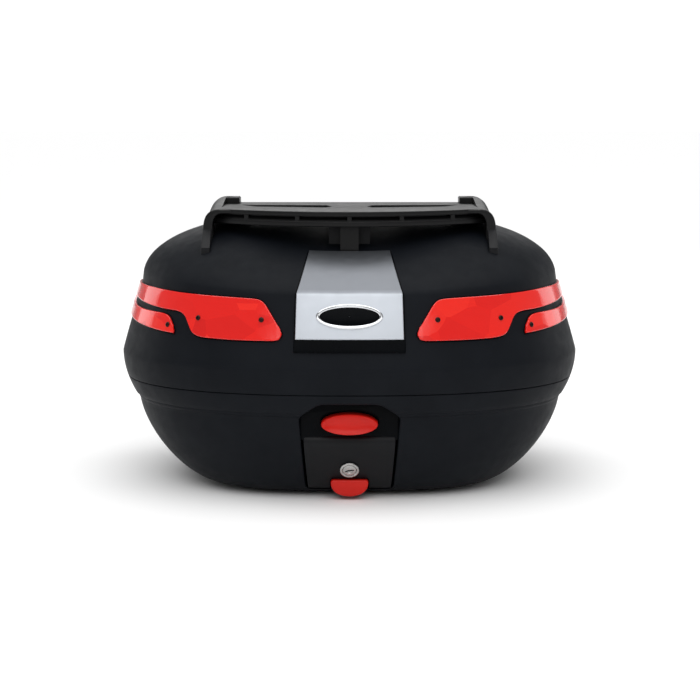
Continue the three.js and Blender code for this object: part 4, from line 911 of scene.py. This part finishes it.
def lens_grid(outline, grow, start, thick, radius):
    """Outer and inner grids of a reflector's slab."""
    top, bottom = (np.array(line) for line in outline)
    first, last = top[0, 0] - grow, top[-1, 0] + grow
    ends = np.array([0, 0.15, 0.4, 0.8, 1.3, 1.9])
    stations = np.concatenate([first + ends, np.arange(first + 3, last - 3, 2.5), (last - ends)[::-1]])
    at = np.clip(stations, top[0, 0], top[-1, 0])
    high = np.interp(at, top[:, 0], top[:, 1]) + grow
    low = np.interp(at, bottom[:, 0], bottom[:, 1]) - grow
    soft = np.ones(5) / 5
    for edge in (high, low):
        edge[2:-2] = np.convolve(edge, soft, "valid")
    shares = (1 - np.cos(np.linspace(0, np.pi, 25))) / 2
    zs = low[:, None] + (high - low)[:, None] * shares
    rounds = np.repeat(stations[:, None], len(shares), 1)
    distance = np.minimum(np.minimum(zs - low[:, None], high[:, None] - zs),
            np.minimum(rounds - first, last - rounds))
    outer = on_side(rounds, zs, start + thick - edge_drop(distance, radius))
    inner = on_side(rounds, zs, np.full_like(zs, start))
    return outer, inner


def screw(name, node, body, slot, material, origin, out, sizes, turn=0.0):
    """A pan-head screw with a cross recess, standing at the underside of its head."""
    head_r, head_h, shank_r, long = sizes
    profile = [
        (0, -long), (shank_r * 0.6, -long), (shank_r, -long + 0.6), (shank_r, 0), (head_r, 0),
        (head_r, head_h * 0.25), (head_r * 0.94, head_h * 0.6), (head_r * 0.78, head_h * 0.88),
        (head_r * 0.5, head_h), (0, head_h),
    ]
    body_mesh = lathe(name, profile, 32)
    arm, wide = head_r * 0.55, head_r * 0.14
    slots = [
        block("slot", -arm, arm, -wide, wide, head_h * 0.45, head_h + 1, 0.02),
        block("slot", -wide, wide, -arm, arm, head_h * 0.45, head_h + 1, 0.02),
    ]
    made = smooth(boolean(body_mesh, slots))
    made.data.transform(Matrix.Rotation(turn, 4, "Z"))
    settle(moved(made, origin, out), body, slot, material, node)


def reflectors():
    for label, outline in (("upper", UPPER_LENS), ("lower", LOWER_LENS)):
        lens = smooth(closed_grid(f"{label}_lens_left",
                *lens_grid(outline, 0.0, LENS_FROM, LENS_THICK, 1.0)), 28)
        # Each lens gets a near-black bead 1.3 mm wider than the lens: painted shade, in place of the shadow
        # in the gap round the lens.
        shadow_bead = smooth(closed_grid(f"{label}_gasket_left", *lens_grid(outline, 1.3, 0.05, 0.9, 0.4)), 28)
        for piece, slot, material in ((lens, "reflector_red", LENS), (shadow_bead, "gloss_black", GLOSS_AND_SHADE)):
            other = mirrored(piece, piece.name.replace("left", "right"))
            is_lens = piece is lens
            settle(piece, "lid", slot, material, *([f"{label}_reflector_left"] if is_lens else []))
            settle(other, "lid", slot, material, *([f"{label}_reflector_right"] if is_lens else []))
        for i, (distance, z) in enumerate(LENS_SCREWS[label], 1):
            at = np.array([float(distance)]), np.array([float(z)])
            low = on_side(*at, np.array([0.0]))[0]
            out = on_side(*at, np.array([1.0]))[0] - low
            origin = low + out * (LENS_FROM + LENS_THICK + 0.15)
            for side, word in ((1, "left"), (-1, "right")):
                flip = np.array([side, 1, 1])
                name = f"reflector_screw_{label}_{word}_{i}"
                screw(f"lens_screw_{label}_{word}_{i}", name, "lid", "screw_dark", SCREW, origin * flip,
                        out * flip,
                      (3.1, 1.5, 1.3, 8.0), 0.3 * i)


# ---- rack -------------------------------------------------------------------------------------------------

RACK_TOP = RACK_HIGH[2] - 8
RACK_HALF, DECK_HALF, LEG_HALF = 170.0, 162.0, 181.0
BOW_FRONT, BOW_END, RACK_REAR = RACK_LOW[1], RACK_LOW[1] + 70, RACK_HIGH[1]
BAR_BOTTOM = RACK_TOP - 18
SHOULDER = ((1, 22), (2, 7), (8, 0), (21, 0))


def bow_y(x):
    return mix(BOW_FRONT, BOW_END, (np.asarray(x) / RACK_HALF) ** 2)


def bow_band(start, end, half=RACK_HALF - 0.5):
    """Outline of a strip that follows the bowed front edge, between two distances back from it."""
    xs = np.linspace(-half, half, 61)
    return [(x, bow_y(x) + start) for x in xs] + [(x, bow_y(x) + end) for x in xs[::-1]]


def strap_slot(side):
    """Outline of one of the two large openings in the deck, narrow towards the front corners."""
    corners = ((28, -44), (118, -24), (141, 16), (28, 6), (22, -19))
    return rounded([(side * x, y) for x, y in corners], 7, 8)


def deck_outline():
    xs = np.linspace(-DECK_HALF, DECK_HALF, 61)
    front = [(x, bow_y(x)) for x in xs]
    rear = rounded([(DECK_HALF, 0), (DECK_HALF, RACK_REAR), (-DECK_HALF, RACK_REAR), (-DECK_HALF, 0)], 14, 10)
    return front + rear[10:30]


def shoulder(top, steps=14):
    """Points of the +X side's rounded shoulder, from its lower edge up to a height."""
    return np.array(bezier([(LEG_HALF - inward, top - down) for inward, down in SHOULDER], steps))


def leg_outline(side):
    """A front leg in the (x, z) plane, with its bend into the deck."""
    inner, under = LEG_HALF - 13, RACK_TOP - 5.5
    points = [(LEG_HALF, 250.0)] + [tuple(p) for p in shoulder(RACK_TOP)]
    points += [(LEG_HALF - 21.5, RACK_TOP - 0.4), (143.0, RACK_TOP - 0.4), (143.0, under),
            (inner - 10, under)]
    for a in np.radians([15, 30, 45, 60, 75, 90]):
        points.append((inner - 10 + 10 * math.sin(a), under - 14 + 14 * math.cos(a)))
    points.append((inner + 1, 250.0))
    return [(side * x, z) for x, z in points]


def rear_outline(side):
    """A rear corner block in the (x, z) plane."""
    inner, top = 143.0, RACK_HIGH[2]
    points = [(inner, RACK_TOP - 8), (inner, top - 1.5), (inner + 1.5, top)]
    points += [tuple(p) for p in shoulder(top)[::-1]]
    points += [(LEG_HALF - 6, 250.0), (inner, 250.0)]
    return [(side * x, z) for x, z in points]


def side_rail():
    """Curved skin between the front leg and the rear block, which carries their shoulder along the side."""
    outer, inner = [], []
    for y in np.linspace(-58, 46, 27):
        share = np.clip((y + 54) / 96, 0, 1)
        line = shoulder(mix(RACK_TOP, RACK_HIGH[2], share * share * (3 - 2 * share)), 18)
        along = np.gradient(line, axis=0)
        normal = unit(np.stack([along[:, 1], -along[:, 0]], -1))
        for points, depth in ((outer, -0.05), (inner, -5.0)):
            row = line + normal * depth
            points.append(np.stack([row[:, 0], np.full(len(row), y), row[:, 1]], -1))
    return closed_grid("rail", np.array(outer), np.array(inner))


def front_lip():
    """Sloped faces in the groove under the deck's lip, seen between the ribs."""
    xs = np.linspace(-DECK_HALF + 4, DECK_HALF - 4, 81)
    profile = [(10.5, RACK_TOP - 5.0), (2.5, RACK_TOP - 10.5), (2.5, RACK_TOP - 12), (12, RACK_TOP - 12),
            (12, RACK_TOP - 5.0)]
    rings = [np.array([(x, bow_y(x) + back, z) for back, z in profile]) for x in xs]
    return stack("lip", rings)


def luggage_rack():
    top = RACK_TOP
    parts = [
        plate("deck", [deck_outline(), strap_slot(-1), strap_slot(1)], "z", top - 4, top, 1.3),
        plate("edge", [bow_band(0, 13, DECK_HALF - 1)], "z", top - 5.5, top - 1, 0.8),
        plate("skirt", [bow_band(0, 13)], "z", BAR_BOTTOM, BAR_BOTTOM + 6.5, 1.2),
        plate("back", [bow_band(8, 13)], "z", BAR_BOTTOM, top - 1, 0.8),
        front_lip(),
    ]
    for x in (-126, -63, 0, 63, 126):
        y = float(bow_y(x))
        parts.append(block("rib", x - 2.5, x + 2.5, y + 1.2, y + 12, BAR_BOTTOM + 1, top - 1, 0.5))
    leg = plate("leg", [leg_outline(-1)], "y", -86, -54, 1.6)
    rear = plate("rear", [rear_outline(-1)], "y", 42, RACK_REAR, 1.6)
    slot = plate("slot", [rectangle(-165, -152, 56, 66, 4)], "z", top + 2, top + 12, 0.01)
    left = [boolean(leg, [lid_filled(0.4)]), boolean(rear, [slot, lid_filled(0.4)]),
            mirrored_over(side_rail(), "rail")]
    parts += left + [mirrored(piece, "right") for piece in left]
    parts.append(block("rear_bar", -147, 147, RACK_REAR - 6, RACK_REAR - 1, top - 12, top - 1, 1.0))
    pillar = block("pillar", -11, 11, -127, -60, 280, top - 1, 0.8)
    parts.append(boolean(pillar, [lid_filled(0.4)]))
    settle(smooth(joined("rack", parts), 30), "lid", "rack_black", RACK, "luggage_rack")
    low = block("rack_wings", -25, 25, -108, -38, 280, top - 1.5, 0.5)
    shoes = []
    for side in (-1, 1):
        inner, outer = sorted((side * (LEG_HALF - 11.5), side * (LEG_HALF - 0.5)))
        outline = [(-114, 280), (-114, 300), (-84, 322), (-70, 322), (-70, 280)]
        shoes.append(boolean(plate("shoe", [outline], "x", inner, outer, 1.0), [lid_filled(0.4)]))
    wings = joined("rack_feet", [boolean(low, [lid_filled(0.4)]), *shoes])
    settle(smooth(wings, 30), "lid", "lock_black", LOCK)


# ---- lock -------------------------------------------------------------------------------------------------


def face_plate():
    """Plate below the button, flush with the case, with a rounded top, a key hole and a notch."""
    low_z, top_z = PLATE_LOW[2] + 0.2, PLATE_HIGH[2]
    zs = np.concatenate([np.linspace(low_z, top_z - 12, 24),
            top_z - 12 + 12 * np.sin(np.linspace(0.08, np.pi / 2, 14))])
    half_top = (PLATE_HIGH[0] - PLATE_LOW[0]) / 2
    halves = half_top - 5.1 * (top_z - zs) / (top_z - low_z)
    shares = np.concatenate([[-1, -0.998, -0.992, -0.982], np.linspace(-0.96, 0.96, 25),
            [0.982, 0.992, 0.998, 1]])
    xs = halves[:, None] * shares
    grid_z = np.repeat(zs[:, None], len(shares), 1)
    bend = 12 - np.sqrt(np.clip(144 - np.clip(grid_z - (top_z - 12), 0, 12) ** 2, 0, None))
    distance = halves[:, None] - np.abs(xs)
    outer = on_taper(xs, grid_z, -0.2 - edge_drop(distance, 1.0) - bend * 0.7)
    inner = on_taper(xs, grid_z, -3.2 - bend * 0.7)
    body = closed_grid("lock_cover", outer, inner)
    tab_half = (TAB_HIGH[0] - TAB_LOW[0]) / 2 + 1.2
    notch = plate("notch", [rectangle(-tab_half, tab_half, -2, TAB_HIGH[2] + 1.2, 4)], "y", -200, -120, 0.01)
    hole = moved(lathe("hole", [(0, -20), (10, -20), (10, 20), (0, 20)]), KEY_AT, KEY_OUT)
    settle(smooth(boolean(body, [notch, hole]), 30), "root", "lock_black", LOCK, "lock_face_plate")


def oval(half_w, half_h, z, count=72):
    turns = np.linspace(0, 2 * np.pi, count, endpoint=False)
    return [(half_w * math.cos(a), z + half_h * math.sin(a)) for a in turns]


def button_and_bezel():
    half_w = (BUTTON_HIGH[0] - BUTTON_LOW[0]) / 2
    half_h = 12.6
    z = BUTTON_HIGH[2] - half_h
    front, back = BUTTON_LOW[1], -184.0
    outline = [(-59.0, 76), (59.0, 76), (59.4, 107), (35.4, 122.4), (-35.4, 122.4), (-59.4, 107)]
    surround = plate("button_surround", [rounded(outline, 6), oval(half_w + 0.8, half_h + 0.8, z)], "y",
                     BEZEL_LOW[1], BEZEL_HIGH[1], 0.6)
    settle(surround, "root", "gloss_black", GLOSS_AND_SHADE, "button_bezel")
    turns = np.linspace(0, 2 * np.pi, 96, endpoint=False)
    side = [(0.3, back + 2), (0.985, back), (1.0, back - 1), (1.0, front + 3.2), (0.99, front + 1.7),
            (0.97, front + 0.6)]
    dish = [(0.935, front), (0.9, front + 0.35), (0.82, front + 1.3), (0.7, front + 2.3),
            (0.54, front + 3.1), (0.34, front + 3.6),
            (0.1, front + 3.8)]
    rings = []
    for scale, y in side + dish:
        rings.append(np.stack([half_w * scale * np.cos(turns), np.full(96, float(y)),
                z + half_h * scale * np.sin(turns)], -1))
    cap = smooth(stack("button_cap", rings), 50)
    stem = block("button_stem", -5, 5, back - 1, BUTTON_HIGH[1], z - 1, z + 3, 0.5)
    settle(joined("button_cap", [cap, stem]), "lid_button", "button_red", BUTTON, "lid_release_button")


def release_tab():
    """Red tab at the foot of the lock plate: square shoulders, and a bottom edge that curves up."""
    half, top, low, corner = (TAB_HIGH[0] - TAB_LOW[0]) / 2, TAB_HIGH[2], TAB_LOW[2], 4.0
    points = []
    for side in (-1, 1):
        shoulder = [(-half + corner, top), (-half, top), (-half, top - corner)]
        belly = [(-half, top - corner), (-half, mix(top, low, 0.7)), (-half * 0.6, low), (0, low)]
        run = bezier(shoulder, 7) + bezier(belly, 16)[1:-1 if side > 0 else None]
        run = [(p[0] * (1 if side < 0 else -1), p[1]) for p in run]
        points += run if side < 0 else run[::-1]
    front = TAB_LOW[1]
    face = plate("release_tab", [points], "y", front, front + 12, 2.2)
    stem = block("stem", -7, 7, front + 11, TAB_HIGH[1], 13, 18, 0.5)
    settle(joined("release_tab", [face, stem]), "release_tab", "button_red", BUTTON, "case_release_tab")


KEY_Z = 39.0
KEY_TILT = math.radians(31)
KEY_AT = on_taper(np.array([0.0]), np.array([KEY_Z]), np.array([0.0]))[0]
KEY_OUT = np.array([0, -math.cos(KEY_TILT), -math.sin(KEY_TILT)])


def in_lock(obj):
    """Stands a body made about Z in the key lock, X across the case."""
    obj.data.transform(Matrix.Translation(Vector(KEY_AT) * MM) @ Matrix.Rotation(math.pi / 2 + KEY_TILT, 4,
            "X"))
    return obj


def key_lock():
    profile = [(8.55, -24), (9.7, -24), (9.7, 0.4), (11.1, 0.4), (11.5, 0.8), (11.5, 1.8), (11.2, 2.3),
            (10.6, 2.6),
               (9.3, 2.6), (8.9, 2.3), (8.55, 1.9)]
    settle(in_lock(lathe("lock_ring", profile, 96)), "root", "lock_silver", SILVER, "lock_barrel")
    plug = lathe("key_face", [(0, -24.4), (8.2, -24.4), (8.2, 1.7), (7.9, 2.2), (7.2, 2.5), (3, 2.6),
            (0, 2.6)], 96)
    slot = plate("slot", [rectangle(-5.6, 5.6, -1.0, 1.0, 0.9)], "z", -6, 4, 0.01)
    well = lathe("well", [(0, 2.0), (3.4, 2.0), (3.9, 2.9), (0, 2.9)], 48)
    slot.data.transform(Matrix.Rotation(math.radians(12), 4, "Z"))
    tail = lathe("tail", [(0, -27), (1.6, -27), (1.6, -18), (0, -18)], 24)
    plug = smooth(boolean(plug, [slot, well, tail]), 30)
    settle(in_lock(plug), "key", "lock_silver", SILVER, "key_plug")


def spring(name, node, y0, y1, z, radius, wire, turns):
    """A return coil along Y."""
    steps = turns * 24
    share = np.linspace(0, 1, steps + 1)
    # The last turn at each end lies nearly flat.
    run = np.interp(share, [0, 1 / turns, 1 - 1 / turns, 1], [0, 0.06, 0.94, 1])
    angle = share * turns * 2 * np.pi
    curve = bpy.data.curves.new(name, "CURVE")
    curve.dimensions = "3D"
    curve.bevel_depth = wire * MM
    curve.bevel_resolution = 4
    curve.use_fill_caps = True
    spline = curve.splines.new("POLY")
    spline.points.add(steps)
    points = np.stack([radius * np.cos(angle), mix(y0, y1, run), z + radius * np.sin(angle),
            np.full(steps + 1, 1000.0)], -1)
    spline.points.foreach_set("co", (points * MM).ravel())
    obj = bpy.data.objects.new(name, curve)
    bpy.context.scene.collection.objects.link(obj)
    obj = smooth(baked(obj), 60)
    settle(obj, "root", "pin_steel", STEEL, node)
    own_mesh(obj)


def small_parts():
    """Seal, feet, screws and springs."""
    section = [(0.1, -5), (1.2, -5), (3.0, -4), (3.0, 2.8), (2.6, 3.6), (1.6, 4), (0.6, 3.6), (0.1, 2.8)]
    rings = [plan_ring(sizes_at(SEAM_Z) - WALL - 0.5 - inset, ANGLES, SEAM_Z + up) for inset, up in section]
    settle(smooth(stack("lid_seal", rings, closed=True), 50), "root", "rubber_black", RUBBER, "rim_seal")
    for i in range(1, 5):
        x, y, _ = middle_of(f"rubber_foot_{i}")
        profile = [(0, 0.8), (5, 0.8), (5.4, 0.1), (12.2, 0), (13.6, 0.8), (14, 2), (14, 5.2), (13.6, 5.7),
                (3, 5.7), (3, 9.2), (0, 9.2)]
        foot = lathe(f"foot_pad_{i}", profile)
        foot.data.transform(Matrix.Translation((x * MM, y * MM, 0)))
        settle(foot, "root", "rubber_black", RUBBER, f"rubber_foot_{i}")
        low, high = node_box(f"rack_screw_{i}")
        x, y = (low[:2] + high[:2]) / 2
        screw(f"rack_bolt_{i}", f"rack_screw_{i}", "lid", "zinc_plated", ZINC, (x, y, low[2] + 3),
                (0, 0, -1), (6, 3, 3, 30))
        _, high = node_box(f"cover_screw_{i}")
        x, _, z = middle_of(f"cover_screw_{i}")
        screw(f"cover_bolt_{i}", f"cover_screw_{i}", "root", "zinc_plated", ZINC, (x, high[1] - 1.6, z),
                (0, 1, 0),
              (2.6, 1.6, 1.1, 5.2))
    for word in ("left", "right"):
        _, high = node_box(f"striker_screw_{word}")
        x, _, z = middle_of(f"striker_screw_{word}")
        screw(f"striker_bolt_{word}", f"striker_screw_{word}", "lid", "zinc_plated", ZINC,
                (x, high[1] - 1.6, z), (0, 1, 0),
              (2.8, 1.6, 1.2, 6))
    for node, name, joint, keep, turns, radius in (
        ("lid_hook_spring", "lid_hook_coil", "lid_hook_pivot", 0.86, 9, 5.0),
        ("mount_hook_spring", "mount_hook_coil", "mount_hook_pivot", 0.62, 4, 3.5),
    ):
        low, high = node_box(node)
        spring(name, node, low[1] + 0.7, high[1] - 0.7, (low[2] + high[2]) / 2, radius, 0.6, turns)


def frame_nodes():
    """Better looks for the CAD nodes that stay shown."""
    zinc = ["lock_chassis", "barrel_nut", "lock_cam", "cam_screw", "lid_latch_hook", "mount_latch_hook",
            "lid_striker"]
    steel = ["latch_pin", "mount_latch_pin", "hinge_pin_left", "hinge_pin_right"]
    looks = [(name, ZINC) for name in zinc] + [(name, STEEL) for name in steel] + [("lock_bay_cover", LOCK)]
    for name, material in looks:
        obj = frame["nodes"][name]
        obj.data.materials.clear()
        obj.data.materials.append(material)
        modifier = obj.modifiers.new("round", "BEVEL")
        modifier.width = 0.35 * MM
        modifier.segments = 2
        modifier.limit_method = "ANGLE"
        modifier.angle_limit = math.radians(40)


# ---- floor, lights and camera -----------------------------------------------------------------------------


def studio():
    floor = link("floor", np.array([(-1, -1, 0), (1, -1, 0), (1, 1, 0), (-1, 1, 0)]) * 30000.0,
            [(0, 1, 2, 3)])
    paper = bpy.data.materials.new("pale_paper")
    paper.use_nodes = True
    shader = paper.node_tree.nodes["Principled BSDF"]
    shader.inputs["Base Color"].default_value = (0.9, 0.9, 0.9, 1)
    shader.inputs["Roughness"].default_value = 0.9
    floor.data.materials.append(paper)

    world = bpy.data.worlds.new("studio")
    bpy.context.scene.world = world
    world.use_nodes = True
    nodes, links = world.node_tree.nodes, world.node_tree.links
    background = nodes["Background"]
    background.inputs["Color"].default_value = (1, 1, 1, 1)
    path = nodes.new("ShaderNodeLightPath")
    strength = nodes.new("ShaderNodeMapRange")
    strength.inputs["To Min"].default_value = 0.3
    strength.inputs["To Max"].default_value = 1.2
    links.new(path.outputs["Is Camera Ray"], strength.inputs["Value"])
    links.new(strength.outputs["Result"], background.inputs["Strength"])

    def softbox(name, place, aim, width, height, power_w):
        light = bpy.data.lights.new(name, "AREA")
        light.shape = "RECTANGLE"
        light.size, light.size_y = width, height
        light.energy = power_w
        obj = bpy.data.objects.new(name, light)
        obj.location = place
        obj.rotation_euler = (Vector(aim) - Vector(place)).to_track_quat("-Z", "Y").to_euler()
        obj.visible_camera = False
        bpy.context.scene.collection.objects.link(obj)

    sky = bpy.data.lights.new("ceiling", "SUN")
    sky.energy = 2.75
    sky.angle = math.radians(85)
    ceiling = bpy.data.objects.new("ceiling", sky)
    ceiling.rotation_euler = (math.radians(12), 0, 0)
    bpy.context.scene.collection.objects.link(ceiling)
    softbox("front", (0, -3.2, 1.7), (0, 0, 0.2), 2.6, 1.0, 13)
    softbox("left", (-2.4, 1.2, 1.0), (0, 0, 0.2), 1.2, 1.6, 9)
    softbox("right", (2.4, 1.2, 1.0), (0, 0, 0.2), 1.2, 1.6, 9)
    softbox("behind", (0, 2.8, 1.6), (0, 0, 0.2), 2.6, 1.0, 14)

    camera = bpy.data.cameras.new("camera")
    camera.sensor_width = 36
    camera.lens = 36 * 1704 / 700
    camera.shift_x = 0.5 / 700
    camera.shift_y = -5 / 700
    camera.clip_end = 100
    obj = bpy.data.objects.new("camera", camera)
    look_down = math.radians(8)
    distance = 2.2
    target = Vector((0, 0, WIDEST_Z * MM))
    obj.location = target + Vector((0, -math.cos(look_down), math.sin(look_down))) * distance
    obj.rotation_euler = (math.pi / 2 - look_down, 0, 0)
    bpy.context.scene.collection.objects.link(obj)
    bpy.context.scene.camera = obj
    bpy.context.scene.view_settings.view_transform = "Standard"


studio()
settle(smooth(lid_shell(), 40), "lid", "shell_black", SHELL, "lid_shell")
settle(smooth(tray_shell(), 30), "root", "shell_black", SHELL, "bottom_shell")
hinges()
screw_bosses()
settle(garnish("garnish_base", CARRIER_LOW[2] + 0.3, 2.0, 0.4, 2.2, 0.8), "lid", "gloss_black", GLOSS_AND_SHADE,
        "garnish_carrier")
settle(garnish("garnish_cover", PANEL_LOW_Z, 0.0, PANEL_FROM, 1.6, 0.6), "lid", "panel_silver", PANEL,
        "garnish_panel")
badge()
reflectors()
luggage_rack()
face_plate()
button_and_bezel()
release_tab()
key_lock()
small_parts()
frame_nodes()
for leftover in [o for o in bpy.data.objects if o.name.startswith("lid_filled")]:
    bpy.data.objects.remove(leftover)
